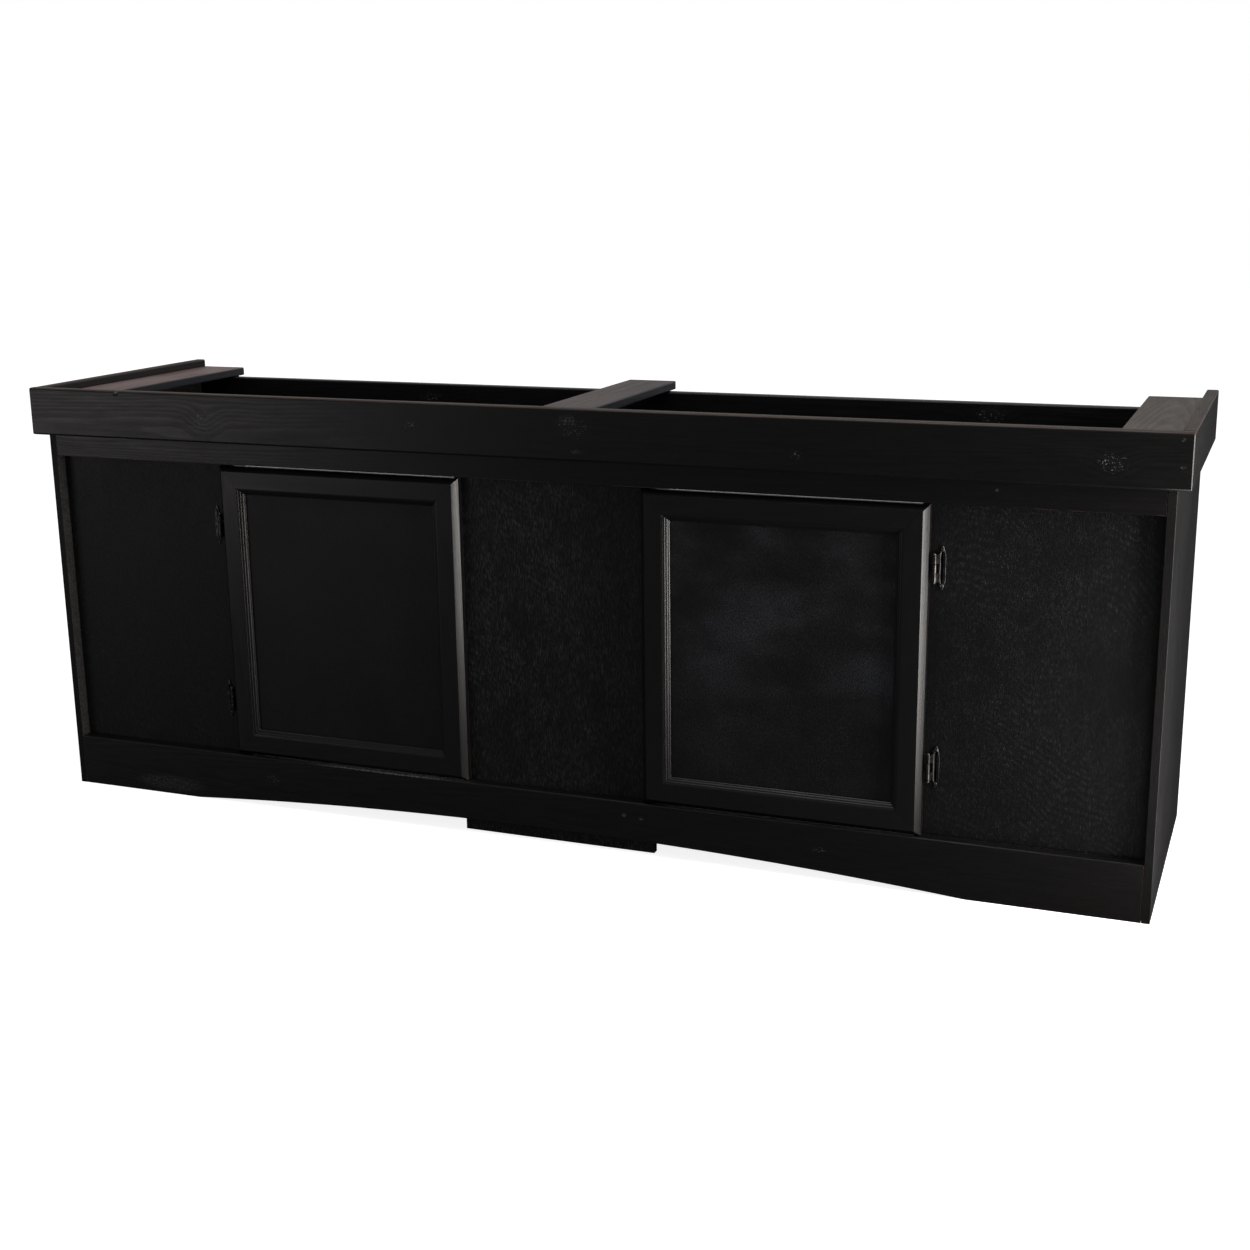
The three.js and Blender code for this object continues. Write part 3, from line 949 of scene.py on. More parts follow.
@dataclass
class Board:
    """A dressed board with eased long edges and square-cut ends."""

    piece: Piece
    grain: Grain
    radius: float = 2.4 * MM
    end_radius: float = 0.7 * MM
    wear: float = 0.35 * MM
    lowered: float = 0.0
    pitch: float = 45 * MM
    seed: int = 0

    def build(self) -> bpy.types.Object:
        """Saws, eases and dresses the board."""
        low, high = inner_box(self.piece.node)
        low.z -= self.lowered
        stock = Stock().block(low, high)
        axis = self.grain.along
        stock.cross_cut(axis, spread(low[axis.value], high[axis.value], self.pitch))
        stock.ease(stock.sharp(lambda edge: parallel(edge, axis)), self.radius)
        ends = stock.sharp(lambda edge: self._at_end(edge, low, high))
        stock.ease(ends, self.end_radius, 2)
        stock.rub(self.wear, 24 * MM, self.seed)
        return stock.deliver(self.piece)

    def _at_end(self, edge: bmesh.types.BMEdge, low: Vector, high: Vector) -> bool:
        """True if an edge lies in one of the two sawn ends."""
        index = self.grain.along.value
        return any(
            all(abs(vertex.co[index] - end) < TOUCH for vertex in edge.verts)
            for end in (low[index], high[index])
        )


@dataclass
class Sheet:
    """A sheet of plywood with crisp, barely broken edges."""

    piece: Piece
    pitch: float = 80 * MM
    thickest: float = 100 * MM

    def build(self) -> bpy.types.Object:
        """Cuts and dresses the sheet."""
        low, high = inner_box(self.piece.node)
        stock = Stock().block(low, high)
        for axis in Axis:
            start, end = low[axis.value], high[axis.value]
            if end - start > self.thickest:
                stock.cross_cut(axis, spread(start, end, self.pitch))
        stock.ease(stock.sharp(), 0.5 * MM, 2)
        stock.rub(0.2 * MM, 11 * MM, 3)
        return stock.deliver(self.piece)


# ---------------------------------------------------------------- assemblies

LENGTHWISE = Grain(Axis.LENGTH, Axis.HEIGHT)
UPRIGHT = Grain(Axis.HEIGHT, Axis.LENGTH)
UPRIGHT_SIDE = Grain(Axis.HEIGHT, Axis.DEPTH)
CROSSWISE = Grain(Axis.DEPTH, Axis.LENGTH)
CROSSWISE_EDGE = Grain(Axis.DEPTH, Axis.HEIGHT)
DECKWISE = Grain(Axis.LENGTH, Axis.DEPTH)


def pine_board(node: str, grain: Grain, seed: int, **options: Any) -> bpy.types.Object:
    """Builds a plain board.

    Args:
        node: the solid that it stands for.
        grain: how its fibres lie.
        seed: which piece of wood it is.
        options: changes to its finish.

    Returns:
        The board.
    """
    finish = StainedPine(grain, seed, **options)
    return Board(Piece(node, finish), grain, seed=seed).build()


@dataclass
class TopFrame:
    """The trim round the top and the three planks that carry the tank."""

    trim_radius: float = 3.2 * MM
    brad_radius: float = 1.1 * MM
    front_knots: tuple[Knot, ...] = (
        Knot(0.052, 0.683, 0.014),
        Knot(0.845, 0.6656, 0.010),
        Knot(0.402, 0.6565, 0.005),
        Knot(-0.2196, 0.6756, 0.006),
        Knot(-0.600, 0.668, 0.011),
    )
    front_marks: tuple[Mark, ...] = (
        Mark(0.934, 0.7005, 0.004, 0.003, 0.30),
        Mark(0.936, 0.6632, 0.005, 0.002, 0.30),
        Mark(0.046, 0.694, 0.016, 0.010, 0.16),
        Mark(0.060, 0.646, 0.010, 0.004, 0.20),
        Mark(-0.7714, 0.7080, 0.006, 0.0026, 1.0),
    )
    chip: Vector = field(default_factory=lambda: Vector((-0.7714, -0.2461, 0.7105)))
    brads: tuple[tuple[float, float], ...] = (
        (0.934, 0.7005), (0.936, 0.6632), (-0.934, 0.698), (-0.933, 0.652),
        (0.31, 0.641), (-0.31, 0.643), (0.62, 0.640), (-0.62, 0.642),
    )

    def build(self) -> None:
        """Builds the trim boards, their nails and the planks."""
        self._front_trim()
        for side in Side:
            name = f"trim_{side.label}"
            # The end trims' tops are painted paler: partly the wood's tone, partly a painted
            # highlight on their rounded outer edges.
            finish = StainedPine(
                CROSSWISE_EDGE, 21 + side.value, top_wear=2.2 * MM, edge_wear=1.2 * MM,
                top_tone_and_light=((0.014, 0.0085, 0.0062), (0.050, 0.0340, 0.0240)),
            )
            Board(Piece(name, finish), CROSSWISE_EDGE, self.trim_radius * 0.8, seed=5).build()
        # The planks' tops, left to right: the wood's own tone lifted by painted light from above;
        # the pale left one is almost all painted highlight.
        plank_top_tones_and_light = (
            ((0.114, 0.058, 0.050), (0.310, 0.222, 0.210)),
            ((0.038, 0.0230, 0.0195), (0.104, 0.0800, 0.0720)),
            ((0.036, 0.0225, 0.0140), (0.100, 0.0770, 0.0560)),
        )
        for index, word in enumerate(("left", "center", "right")):
            finish = StainedPine(
                CROSSWISE, 31 + index, self._plank_knots(word), sawn=0.45, gloss=0.36,
                relief_depth=0.08 * MM, mottle=0.16, top_tone_and_light=plank_top_tones_and_light[index],
            )
            piece = Piece(f"plank_{word}", finish, "stained_plank")
            Board(piece, CROSSWISE, 2.0 * MM, seed=7 + index).build()

    def _front_trim(self) -> None:
        """Builds the front trim board, rounded all round, with its chip and its nails."""
        finish = StainedPine(
            LENGTHWISE, 12, self.front_knots, self.front_marks, edge_wear=1.0 * MM,
            top_wear=2.6 * MM, relief_depth=0.07 * MM, mottle=0.15, specular=0.5, gloss=0.39,
            dark=(0.0022, 0.0021, 0.0022), light=(0.0047, 0.0041, 0.0042),
            # the top is painted paler and warmer: the wood's tone lifted by painted light from
            # above
            top_tone_and_light=((0.018, 0.0095, 0.0066), (0.060, 0.0350, 0.0240)),
        )
        piece = Piece("trim_front", finish)
        low, high = inner_box(piece.node)
        stock = Stock().block(low, high)
        shelf = high.z - self.trim_radius - 5 * MM
        chip_cuts = [self.chip.x + step * 1.6 * MM for step in range(-4, 5)]
        stock.cross_cut(Axis.LENGTH, spread(low.x, high.x, 45 * MM))
        stock.cross_cut(Axis.HEIGHT, [shelf])
        stock.cross_cut(Axis.LENGTH, chip_cuts, above=shelf - TOUCH)
        stock.ease(stock.sharp(lambda edge: parallel(edge, Axis.LENGTH)), self.trim_radius, 4)
        stock.ease(stock.sharp(), self.trim_radius * 0.5, 3)
        stock.rub(0.5 * MM, 30 * MM, 2)
        stock.dent(self.chip, 6 * MM, Vector((0.0, 1.1 * MM, -1.3 * MM)))
        stock.deliver(piece)
        self._brad_heads(piece, low.y)

    def _brad_heads(self, piece: Piece, face: float) -> None:
        """Sets the small heads of the finishing nails into the front of the trim."""
        stock = Stock()
        profile = [
            (0.0, -0.5 * MM), (self.brad_radius, -0.5 * MM), (self.brad_radius, 0.02 * MM),
            (self.brad_radius * 0.7, 0.1 * MM), (0.0, 0.12 * MM),
        ]
        for x, z in self.brads:
            head = Stock().lathe(profile, Vector((0.0, -1.0, 0.0)), 12)
            stock.join(head.moved(Matrix.Translation((x, face, z))))
        nails = Piece(piece.node, StainedPine(LENGTHWISE, 13), extra="nail_heads")
        stock.deliver(nails, smooth_all=True)

    @staticmethod
    def _plank_knots(word: str) -> tuple[Knot, ...]:
        """The knots that show on the top of each plank, along Y and across X."""
        return {
            "left": (Knot(-0.10, -0.895, 0.008),),
            "center": (Knot(0.03, 0.012, 0.007), Knot(-0.11, -0.02, 0.005)),
            "right": (Knot(0.17, 0.875, 0.008), Knot(-0.02, 0.905, 0.006)),
        }[word]


@dataclass
class Carcass:
    """The rails, the skirt with its arch, the panels, the posts and the deck."""

    arch_span: float = 1341 * MM
    arch_rise: float = 26.7 * MM
    arch_centre: float = -6 * MM
    arch_steps: int = 56
    rail_drop: float = SKIN + 0.45 * MM
    deck_play: float = SKIN + 0.2 * MM

    def build(self) -> None:
        """Builds every fixed board and sheet below the top."""
        rail_marks = (Mark(0.6885, 0.6174, 0.003, 0.003, 0.35),)
        finish = StainedPine(
            LENGTHWISE, 41, marks=rail_marks, edge_wear=0.25 * MM, relief_depth=0.06 * MM,
            mottle=0.15, specular=0.45, gloss=0.39,
        )
        rail = Piece("front_top_rail", finish)
        Board(
            rail, LENGTHWISE, 0.3 * MM, wear=0.1 * MM, lowered=self.rail_drop, seed=41
        ).build()
        self._skirt()
        self._panels()
        self._posts()
        self._deck()
        back_knots = (
            Knot(-0.42, 0.655, 0.012), Knot(0.24, 0.64, 0.010), Knot(0.60, 0.66, 0.013),
        )
        pine_board("back_top_rail", LENGTHWISE, 43, knots=back_knots)
        pine_board("back_bottom_rail", LENGTHWISE, 44)

    def _skirt(self) -> None:
        """Builds the skirt board: a plank with a shallow arch cut from its lower edge."""
        marks = (
            Mark(0.1228, 0.0665, 0.005, 0.004, 0.45),
            Mark(0.1516, 0.0634, 0.004, 0.004, 0.45),
            Mark(-0.735, 0.020, 0.085, 0.017, 0.26),
            # These two marks along the skirt's top edge, under the left door, are a painted
            # highlight.
            Mark(-0.310, 0.0889, 0.180, 0.0034, 1.0),
            Mark(-0.310, 0.0889, 0.130, 0.0034, 0.9),
        )
        knots = (Knot(-0.52, 0.052, 0.008), Knot(0.44, 0.05, 0.006))
        finish = StainedPine(
            LENGTHWISE, 42, knots, marks,
            dark=(0.0040, 0.0036, 0.0038), light=(0.0085, 0.0075, 0.0078),
        )
        piece = Piece("skirt_board", finish)
        low, high = inner_box(piece.node)
        half = self.arch_span / 2
        radius = (half**2 + self.arch_rise**2) / (2 * self.arch_rise)
        sweep = 2 * math.asin(half / radius)
        stock = Stock()
        springing = stock.mesh.verts.new((self.arch_centre - half, low.y, low.z))
        bmesh.ops.spin(
            stock.mesh,
            geom=[springing],
            cent=(self.arch_centre, low.y, low.z + self.arch_rise - radius),
            axis=(0.0, 1.0, 0.0),
            angle=sweep,
            steps=self.arch_steps,
        )
        ordered = sorted(stock.mesh.verts, key=lambda vertex: vertex.co.x)
        feet = [stock.mesh.verts.new((x, low.y, low.z)) for x in (low.x, high.x)]
        stock.mesh.edges.new((feet[0], ordered[0]))
        stock.mesh.edges.new((ordered[-1], feet[1]))
        grown = bmesh.ops.extrude_edge_only(stock.mesh, edges=stock.mesh.edges[:])["geom"]
        for item in grown:
            if isinstance(item, bmesh.types.BMVert):
                item.co.z = high.z
        stock.extrude_faces(stock.mesh.faces[:], Vector((0.0, high.y - low.y, 0.0)))
        top = stock.sharp(lambda edge: all(v.co.z > high.z - TOUCH for v in edge.verts))
        stock.ease(top, 2.0 * MM)
        rest = stock.sharp(lambda edge: all(v.co.z < high.z - 3 * MM for v in edge.verts))
        stock.ease(rest, 0.8 * MM, 2)
        stock.rub(0.25 * MM, 24 * MM, 9)
        stock.deliver(piece)

    def _panels(self) -> None:
        """Builds the plywood panels of the front and the two ends."""
        looks = (
            ("left", 0.8, 1.0, 190.0), ("center", 1.65, 1.0, 120.0), ("right", 0.52, 1.5, 190.0),
        )
        for index, (word, pores, figure, run) in enumerate(looks):
            finish = StainedPly(UPRIGHT, 51 + index, pores, figure, run=run, specular=0.33)
            Sheet(Piece(f"front_panel_{word}", finish, "stained_plywood")).build()
        for side in Side:
            finish = StainedPly(
                UPRIGHT_SIDE, 60 + side.value, 0.3, figure=0.3, pale_inside=0.5, specular=0.28
            )
            Sheet(Piece(f"side_panel_{side.label}", finish, "stained_plywood")).build()

    def _posts(self) -> None:
        """Builds the posts at the corners, beside the middle panel and along the back."""
        for side in Side:
            pine_board(f"front_corner_post_{side.label}", UPRIGHT, 71 + side.value)
            pine_board(f"front_center_post_{side.label}", UPRIGHT, 75 + side.value)
        for index, word in enumerate(("left", "center", "right")):
            knots = (Knot(0.2 + 0.13 * index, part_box(f"back_post_{word}")[0].x + 0.03, 0.008),)
            pine_board(f"back_post_{word}", UPRIGHT, 81 + index, knots=knots)

    def _deck(self) -> None:
        """Builds the deck, notched round the middle panel, and the cleats under it."""
        finish = StainedPly(DECKWISE, 91, pores=0.6)
        piece = Piece("floor_deck", finish, "stained_plywood")
        low, high = inner_box(piece.node)
        panel_low, panel_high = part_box("front_panel_center")
        notch_y = panel_high.y + self.deck_play
        notch = (panel_low.x - self.deck_play, panel_high.x + self.deck_play)
        corners = (
            (low.x, low.y), (notch[0], low.y), (notch[0], notch_y), (notch[1], notch_y),
            (notch[1], low.y), (high.x, low.y), (high.x, high.y), (low.x, high.y),
        )
        outline = [Vector((x, y, low.z)) for x, y in corners]
        stock = Stock().plate(outline, Vector((0.0, 0.0, high.z - low.z)))
        stock.ease(stock.sharp(), 0.5 * MM, 2)
        stock.deliver(piece)
        pine_board("deck_cleat_back", LENGTHWISE, 92)
        for side in Side:
            pine_board(f"deck_cleat_front_{side.label}", LENGTHWISE, 95 + side.value)
            pine_board(f"deck_cleat_{side.label}", CROSSWISE_EDGE, 98 + side.value)


@dataclass
class Hinge:
    """A small surface hinge: a leaf on the front panel, a leaf behind the door, and a pin.

    It is drawn for the right-hand door round the pin: x leads away from the door and y towards
    the back. Half a turn about y makes it fit the left-hand door.
    """

    side: Side
    place: str
    centre: Vector
    knuckle_radius: float = 3.2 * MM
    bore: float = 1.9 * MM
    half_length: float = 20 * MM
    half_middle: float = 6.7 * MM
    play: float = 0.3 * MM
    leaf_back: float = 9.5 * MM
    leaf_front: float = 8.0 * MM
    leaf_inner: float = 4.6 * MM
    leaf_outer: float = 15.2 * MM
    leaf_tip: float = 34 * MM
    screw_radius: float = 2.9 * MM
    pin_radius: float = 1.5 * MM
    button_radius: float = 2.6 * MM

    @property
    def leaf_gauge(self) -> Vector:
        """The way through a leaf, from its back to its front."""
        return Vector((0.0, self.leaf_front - self.leaf_back, 0.0))

    def build(self) -> None:
        """Builds the two leaves and the pin."""
        name = f"{self.side.label}_{self.place}_hinge"
        seed = 200 + self.side.value + (10 if self.place == "upper" else 0)
        self._deliver(self._frame_leaf(), f"{name}_frame_leaf", "cabinet", seed)
        self._deliver(self._pin(), f"{name}_pin", "cabinet", seed + 1)
        self._deliver(self._door_leaf(), f"{name}_door_leaf", f"{self.side.label}_door", seed + 2)

    def _deliver(self, stock: Stock, node: str, body: str, seed: int) -> None:
        """Puts a part of the hinge in its place."""
        turn = Matrix.Rotation(math.pi if self.side is Side.LEFT else 0.0, 4, "Y")
        stock.moved(Matrix.Translation(self.centre) @ turn)
        stock.deliver(Piece(node, HingeMetal(seed), "hinge_metal", body), smooth_all=True)

    def _knuckle(self, low: float, high: float) -> Stock:
        """A short tube round the pin with softened rims."""
        soft = 0.35 * MM
        wall = self.knuckle_radius
        profile = [
            (self.bore, low), (wall - soft, low), (wall, low + soft),
            (wall, high - soft), (wall - soft, high), (self.bore, high),
        ]
        return Stock().lathe(profile, Vector((0.0, 0.0, 1.0)), 32)

    def _strip(self, outline: Sequence[tuple[float, float]], low: float, high: float) -> Stock:
        """A length of bent sheet, from its outline in plan."""
        corners = [Vector((x * MM, y * MM, low)) for x, y in outline]
        return Stock().plate(corners, Vector((0.0, 0.0, high - low)))

    def _frame_leaf(self) -> Stock:
        """The leaf on the front panel: a rimmed plate with bowed ends and two screws."""
        middle = (self.leaf_inner + self.leaf_outer) / 2
        shoulder = self.half_length
        outline = [
            (self.leaf_inner, -shoulder), (middle, -self.leaf_tip - 2 * MM),
            (self.leaf_outer, -shoulder), (self.leaf_outer, shoulder),
            (middle, self.leaf_tip + 2 * MM), (self.leaf_inner, shoulder),
        ]
        plate = Stock()
        corners = [plate.mesh.verts.new((x, self.leaf_back, z)) for x, z in outline]
        plate.mesh.faces.new(corners)
        plate.round_corners(corners, 5.2 * MM, 6)
        plate.extrude_faces(plate.mesh.faces[:], self.leaf_gauge)
        plate.recess(2.0 * MM, 0.5 * MM, 0.5 * MM)
        rim = plate.sharp(
            lambda edge: all(abs(v.co.y - self.leaf_front) < TOUCH for v in edge.verts)
        )
        plate.ease(rim, 0.65 * MM, 3)
        inner = self.half_middle + self.play
        web = [(2.3, 0.3), (3.1, -0.3), (6.6, 8.0), (6.6, 9.5), (4.9, 9.5)]
        for low, high in ((-self.half_length, -inner), (inner, self.half_length)):
            plate.join(self._knuckle(low, high)).join(self._strip(web, low, high))
        for way in (-1, 1):
            place = Vector((middle, self.leaf_front + 0.5 * MM, way * (self.leaf_tip - 8 * MM)))
            plate.join(self._screw(place, 0.5 + 0.8 * way))
        return plate

    def _screw(self, place: Vector, turn: float) -> Stock:
        """A slotted screw head, domed and set in the leaf."""
        rise, slot_half, slot_depth = 1.5 * MM, 0.45 * MM, 0.55 * MM
        profile = [
            (0.0, -0.4 * MM), (self.screw_radius, -0.4 * MM), (self.screw_radius, 0.3 * MM),
            (self.screw_radius * 0.8, rise * 0.72), (self.screw_radius * 0.45, rise * 0.94),
            (0.0, rise),
        ]
        head = Stock().lathe(profile, Vector((0.0, 0.0, 1.0)), 20)
        head.cross_cut(Axis.LENGTH, (-slot_half, slot_half))
        for vertex in head.mesh.verts:
            if abs(vertex.co.x) < slot_half + TOUCH and vertex.co.z > 0.35 * MM:
                vertex.co.z -= slot_depth
        lay = Matrix.Rotation(math.pi / 2, 4, "X") @ Matrix.Rotation(turn, 4, "Z")
        return head.moved(Matrix.Translation(place) @ lay)

    def _door_leaf(self) -> Stock:
        """The middle knuckle and the plate that runs behind the door."""
        leaf = self._knuckle(-self.half_middle, self.half_middle)
        web = [(-2.7, 1.2), (-1.2, 2.3), (-1.2, 9.5), (-2.7, 9.5)]
        leaf.join(self._strip(web, -self.half_middle, self.half_middle))
        far, near, end = -40 * MM, -1.2 * MM, self.half_length
        outline = [
            Vector((x, self.leaf_back, z))
            for x, z in ((far, -end), (near, -end), (near, end), (far, end))
        ]
        return leaf.join(Stock().plate(outline, self.leaf_gauge, 3 * MM))

    def _pin(self) -> Stock:
        """The pin with a rounded button at each end."""
        end = self.half_length + 0.2 * MM
        tip = end + 3.2 * MM
        button = self.button_radius
        half = [
            (self.pin_radius, end), (button - 0.3 * MM, end), (button, end + 0.4 * MM),
            (button, end + 1.0 * MM), (button * 0.86, end + 1.9 * MM),
            (button * 0.55, tip - 0.5 * MM), (button * 0.25, tip - 0.1 * MM), (0.0, tip),
        ]
        profile = [(radius, -height) for radius, height in reversed(half)] + half
        return Stock().lathe(profile, Vector((0.0, 0.0, 1.0)), 24)


@dataclass
class Door:
    """A framed door: four mitred, moulded boards round a thin flat panel."""

    side: Side
    width: float = 441 * MM
    height: float = 500 * MM
    thickness: float = 19 * MM
    joint: float = 0.2 * MM
    hinge_heights: tuple[float, float] = (0.497, 0.196)
    section: tuple[tuple[float, float], ...] = (
        (0.0, 0.0), (46.5, 0.0), (46.5, 1.7), (40.2, 1.7), (40.2, 8.3), (46.5, 8.3),
        (46.5, 9.9), (45.6, 11.0), (44.6, 11.2), (44.2, 12.1), (42.9, 13.6), (41.7, 14.4),
        (41.2, 14.5), (40.8, 15.3), (39.6, 16.4), (38.0, 17.0), (37.6, 17.1), (37.3, 17.7),
        (35.7, 17.9), (35.5, 19.0), (8.3, 19.0), (0.2, 10.0), (0.0, 9.6),
    )
    hinge_x: float = 602 * MM
    hinge_y: float = -217.4 * MM

    @property
    def label(self) -> str:
        """The word that the door's piece names start with."""
        return f"{self.side.label}_door"

    def build(self) -> None:
        """Builds the frame boards, the panel and the hinges."""
        low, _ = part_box(f"{self.label}_left_stile")
        _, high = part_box(f"{self.label}_right_stile")
        centre = (low + high) / 2
        quarter = math.pi / 2
        boards = (
            ("bottom_rail", self.width, self.height / 2, 0.0, LENGTHWISE),
            ("right_stile", self.height, self.width / 2, -quarter, UPRIGHT),
            ("top_rail", self.width, self.height / 2, 2 * quarter, LENGTHWISE),
            ("left_stile", self.height, self.width / 2, quarter, UPRIGHT),
        )
        for index, (word, length, reach, turn, grain) in enumerate(boards):
            stock = self._mitred_board(length, reach)
            stock.moved(Matrix.Translation(centre) @ Matrix.Rotation(turn, 4, "Y"))
            finish = StainedPine(
                grain, 110 + 10 * self.side.value + index, ring=4.5 * MM, edge_wear=0.5 * MM,
                specular=0.5, gloss=0.36, relief_depth=0.05 * MM, mottle=0.10,
                dark=(0.0054, 0.0050, 0.0052), light=(0.0104, 0.0096, 0.0100),
            )
            stock.deliver(Piece(f"{self.label}_{word}", finish, body=self.label))
        self._panel()
        for place, height in zip(("upper", "lower"), self.hinge_heights):
            centre = Vector((self.side.value * self.hinge_x, self.hinge_y, height))
            Hinge(self.side, place, centre).build()

    def _mitred_board(self, length: float, reach: float) -> Stock:
        """Makes one board of the frame, lying below the door's centre with its face to -Y.

        Args:
            length: its length along the outer edge.
            reach: how far that edge lies below the centre.

        Returns:
            The board, with both ends mitred.
        """
        stock = Stock()
        outline = [
            stock.mesh.verts.new((-length / 2, self.thickness / 2 - y * MM, x * MM - reach))
            for x, y in self.section
        ]
        stock.mesh.faces.new(outline)
        stock.extrude_faces(stock.mesh.faces[:], Vector((length, 0.0, 0.0)))
        stock.cross_cut(Axis.LENGTH, spread(-length / 2 + 50 * MM, length / 2 - 50 * MM, 45 * MM))
        half = length / 2 - self.joint / 2
        for way in (-1, 1):
            cut = bmesh.ops.bisect_plane(
                stock.mesh,
                geom=stock.everything(),
                plane_co=(way * half, 0.0, -reach),
                plane_no=(way, 0.0, 1.0),
                clear_outer=True,
            )["geom_cut"]
            rims = [item for item in cut if isinstance(item, bmesh.types.BMEdge)]
            bmesh.ops.holes_fill(stock.mesh, edges=rims, sides=0)
        bmesh.ops.recalc_face_normals(stock.mesh, faces=stock.mesh.faces[:])
        return stock

    def _panel(self) -> None:
        """Builds the thin panel that sits in the frame's groove."""
        # The right door's panel carries a strong film: dust with a painted sheen.
        haze = 1.15 if self.side is Side.RIGHT else 0.14
        finish = StainedPly(
            UPRIGHT, 130 + self.side.value, pores=0.30, figure=0.15, haze=haze, gloss=0.44
        )
        Sheet(Piece(f"{self.label}_panel", finish, "stained_plywood", self.label)).build()


@dataclass
class Catch:
    """A magnetic catch beside the middle panel, and its strike plate on the back of the door."""

    side: Side
    setback: float = 1.2 * MM
    pole_offset: float = 2.6 * MM
    pole_half: float = 0.8 * MM
    pole_margin: float = 5 * MM
    pole_depth: float = 5 * MM
    screw_radius: float = 2.6 * MM
    screw_room: float = 0.15 * MM

    def build(self) -> None:
        """Builds the catch and the strike."""
        self._body()
        self._strike()

    def _body(self) -> None:
        """Builds the moulded case with the two pole plates of its magnet."""
        piece = Piece(f"{self.side.label}_catch_body", CatchPlastic(140), "catch_plastic")
        low, high = inner_box(piece.node)
        stock = Stock().block(low + Vector((0.0, self.setback, 0.0)), high)
        stock.recess(2.0 * MM, 0.3 * MM, 1.5 * MM)
        outer = stock.sharp(lambda edge: all(self._on_hull(v.co, low, high) for v in edge.verts))
        stock.ease(outer, 0.8 * MM, 3)
        stock.deliver(piece)
        poles = Stock()
        middle = (low + high) / 2
        for way in (-1, 1):
            centre = middle.x + way * self.pole_offset
            start = Vector((centre - self.pole_half, low.y, low.z + self.pole_margin))
            end_y, end_z = low.y + self.pole_depth, high.z - self.pole_margin
            poles.block(start, Vector((centre + self.pole_half, end_y, end_z)))
        poles.ease(poles.sharp(), 0.25 * MM, 2)
        poles.deliver(Piece(piece.node, StrikeSteel(141), "strike_steel", extra="pole_plates"))

    @staticmethod
    def _on_hull(point: Vector, low: Vector, high: Vector) -> bool:
        """True if a point lies on the outside of the case and not in its recess."""
        return (
            min(abs(point.x - low.x), abs(point.x - high.x)) < TOUCH
            or min(abs(point.z - low.z), abs(point.z - high.z)) < TOUCH
        )

    def _strike(self) -> None:
        """Builds the strike plate with a screw through its middle."""
        piece = Piece(
            f"{self.side.label}_catch_strike", StrikeSteel(150), "strike_steel",
            f"{self.side.label}_door",
        )
        low, high = inner_box(piece.node)
        stock = Stock()
        corners = ((low.x, low.z), (high.x, low.z), (high.x, high.z), (low.x, high.z))
        outline = [Vector((x, low.y, z)) for x, z in corners]
        stock.plate(outline, Vector((0.0, high.y - low.y - self.screw_room, 0.0)), 3 * MM)
        stock.ease(stock.sharp(), 0.2 * MM, 2)
        radius = self.screw_radius
        profile = [
            (0.0, -0.4 * MM), (radius, -0.4 * MM), (radius * 0.85, 0.1 * MM), (0.0, 0.13 * MM),
        ]
        head = Stock().lathe(profile, Vector((0.0, 1.0, 0.0)), 18)
        middle = (low + high) / 2
        place = Vector((middle.x, high.y - self.screw_room, middle.z))
        stock.join(head.moved(Matrix.Translation(place)))
        stock.deliver(piece)


# ---------------------------------------------------------------- studio


@dataclass(frozen=True)
class Softbox:
    """A rectangular softbox: its centre, the way it shines, its size, its watts and its colour."""

    name: str
    place: tuple[float, float, float]
    facing: tuple[float, float, float]
    size: tuple[float, float]
    power: float
    colour: Colour

    def hang(self) -> None:
        """Makes the light and puts it in its place."""
        light = bpy.data.lights.new(self.name, "AREA")
        light.shape = "RECTANGLE"
        light.size, light.size_y = self.size
        light.energy = self.power
        light.color = self.colour
        turn = Vector(self.facing).to_track_quat("-Z", "Y").to_matrix().to_4x4()
        add_object(self.name, light).matrix_world = Matrix.Translation(self.place) @ turn


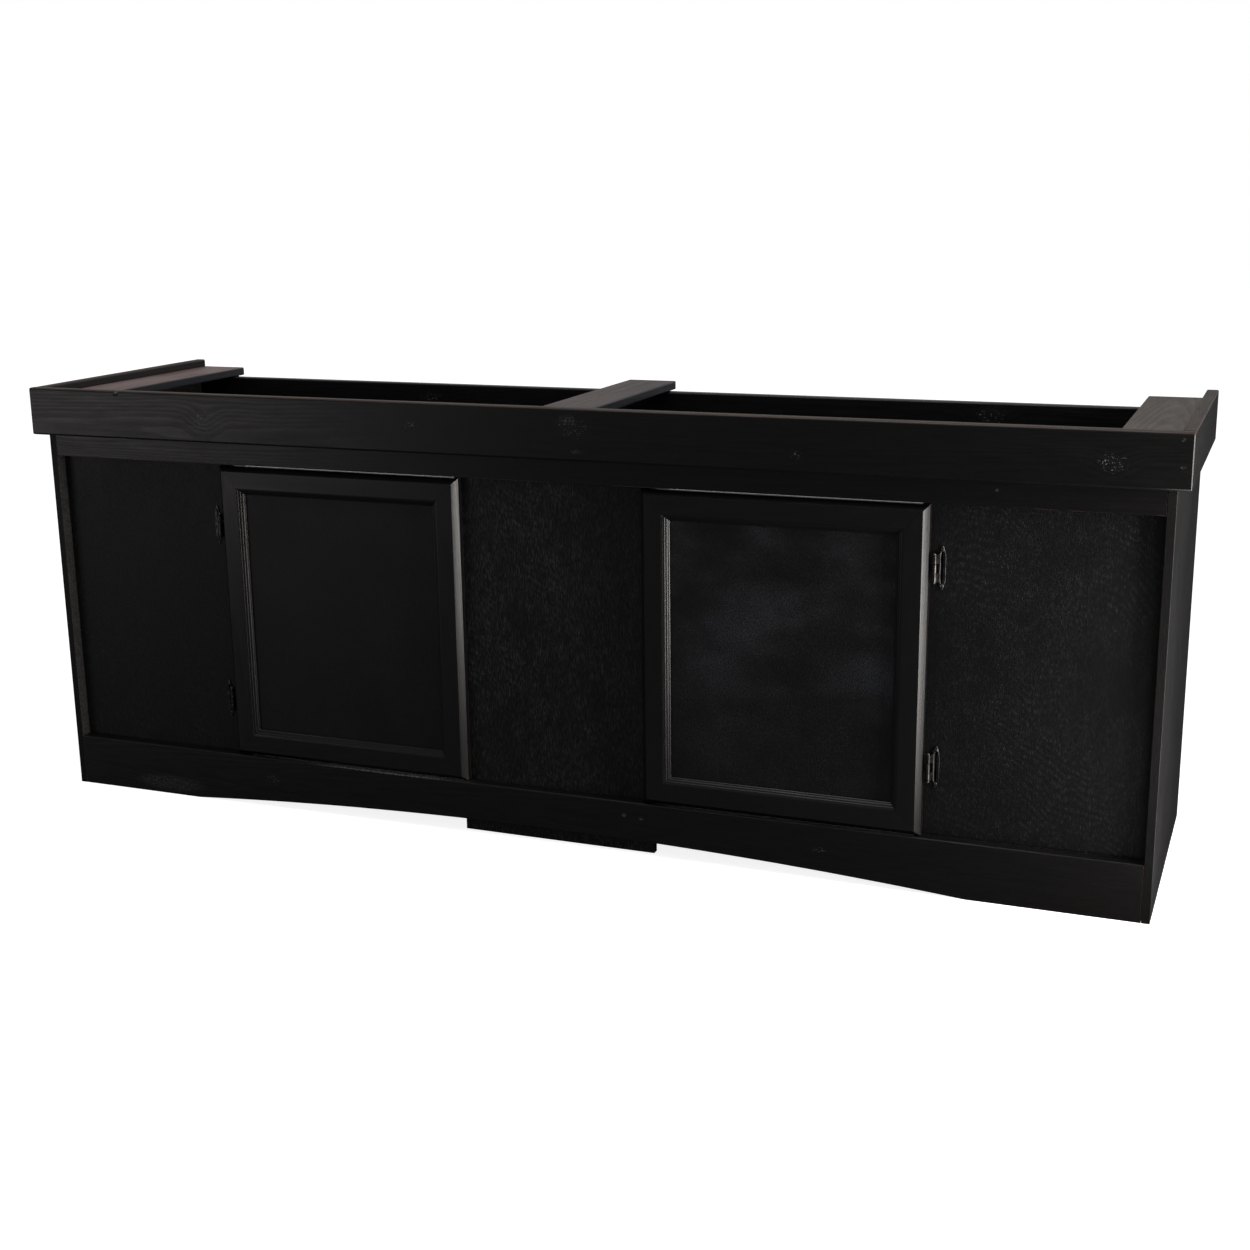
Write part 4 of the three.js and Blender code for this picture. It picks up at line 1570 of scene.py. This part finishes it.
@dataclass
class Studio:
    """The floor, the soft lights and the camera."""

    camera_place: tuple[float, float, float] = (1.0977, -2.6792, 1.0512)
    yaw: float = 21.562
    pitch: float = 14.329
    roll: float = 0.740
    lens: float = 50.91
    surround: float = 0.14
    backdrop: float = 0.46
    softboxes: tuple[Softbox, ...] = (
        Softbox("right_softbox", (1.55, -0.43, 0.50), (-1.0, 0.0, 0.0),
                (0.36, 0.96), 14.0, (1.0, 0.955, 0.91)),
        Softbox("low_softbox", (1.36, -0.46, 0.015), (-0.05, 0.0, 1.0),
                (0.78, 1.0), 9.0, (1.0, 0.98, 0.97)),
        Softbox("top_softbox", (0.35, -0.6, 2.8), (0.0, 0.1, -1.0),
                (1.9, 1.4), 19.5, (1.0, 0.985, 0.965)),
        Softbox("left_softbox", (-2.75, -2.7, 0.37), (0.65, 0.76, 0.0),
                (1.5, 0.5), 4.8, (1.0, 0.93, 0.96)),
    )

    def build(self) -> None:
        """Sets up the whole studio."""
        self._camera()
        self._floor()
        self._world()
        for softbox in self.softboxes:
            softbox.hang()
        bpy.context.scene.view_settings.view_transform = "Standard"

    def _camera(self) -> None:
        """Places the camera in front, to the right and a little above."""
        data = bpy.data.cameras.new("camera")
        data.sensor_width = 36.0
        data.lens = self.lens
        made = add_object("camera", data)
        turn = (
            Matrix.Rotation(math.radians(self.yaw), 4, "Z")
            @ Matrix.Rotation(math.radians(90 - self.pitch), 4, "X")
            @ Matrix.Rotation(math.radians(-self.roll), 4, "Z")
        )
        made.matrix_world = Matrix.Translation(self.camera_place) @ turn
        bpy.context.scene.camera = made

    def _floor(self) -> None:
        """Lays a plain pale floor."""
        shader = Shader("pale_floor")
        x, y, _ = shader.position()
        speck = shader.noise((x * 30.0, y * 30.0, 0.0), 3)
        seen = shader.wire(shader.node("ShaderNodeLightPath"), "Is Camera Ray")
        pale = shader.mix(seen, (0.12, 0.12, 0.12), (0.90, 0.90, 0.90))
        glow = shader.mix(seen, (0.0, 0.0, 0.0), (0.86, 0.86, 0.86))
        constants = {"Emission Strength": 1.0, "Specular IOR Level": 0.1}
        material = shader.finish(pale, 0.85, speck, 0.02 * MM, constants)
        shader.feed(shader.surface.inputs["Emission Color"], glow)
        mesh = bmesh.new()
        bmesh.ops.create_grid(mesh, x_segments=2, y_segments=2, size=14.0)
        data = bpy.data.meshes.new("floor")
        mesh.to_mesh(data)
        mesh.free()
        data.materials.append(material)
        add_object("floor", data)

    def _world(self) -> None:
        """Surrounds the stand with soft light: bright behind it and dim in front."""
        world = bpy.data.worlds.new("studio")
        bpy.context.scene.world = world
        world.use_nodes = True
        bench = NodeBench(world.node_tree)
        way = bench.wire(bench.node("ShaderNodeTexCoord"), "Generated")
        split = bench.node("ShaderNodeSeparateXYZ", inputs={0: way})
        behind = bench.wire(split, 1).ease(-0.3, 0.6)
        glow = behind * (self.backdrop - self.surround) + self.surround
        seen = bench.wire(bench.node("ShaderNodeLightPath"), "Is Camera Ray")
        sky = bench.node(
            "ShaderNodeBackground",
            inputs={"Color": (1.0, 1.0, 1.0), "Strength": glow.larger(seen)},
        )
        bench.node("ShaderNodeOutputWorld", inputs={"Surface": bench.wire(sky)})


def main() -> None:
    """Builds the stand from the top down, then the doors, the catches and the studio."""
    logging.basicConfig(level=logging.INFO, format="%(message)s")
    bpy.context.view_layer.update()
    TopFrame().build()
    Carcass().build()
    Door(Side.LEFT, hinge_heights=(0.487, 0.183)).build()
    Door(Side.RIGHT).build()
    for side in Side:
        Catch(side).build()
    Studio().build()


if __name__ == "__main__":
    main()
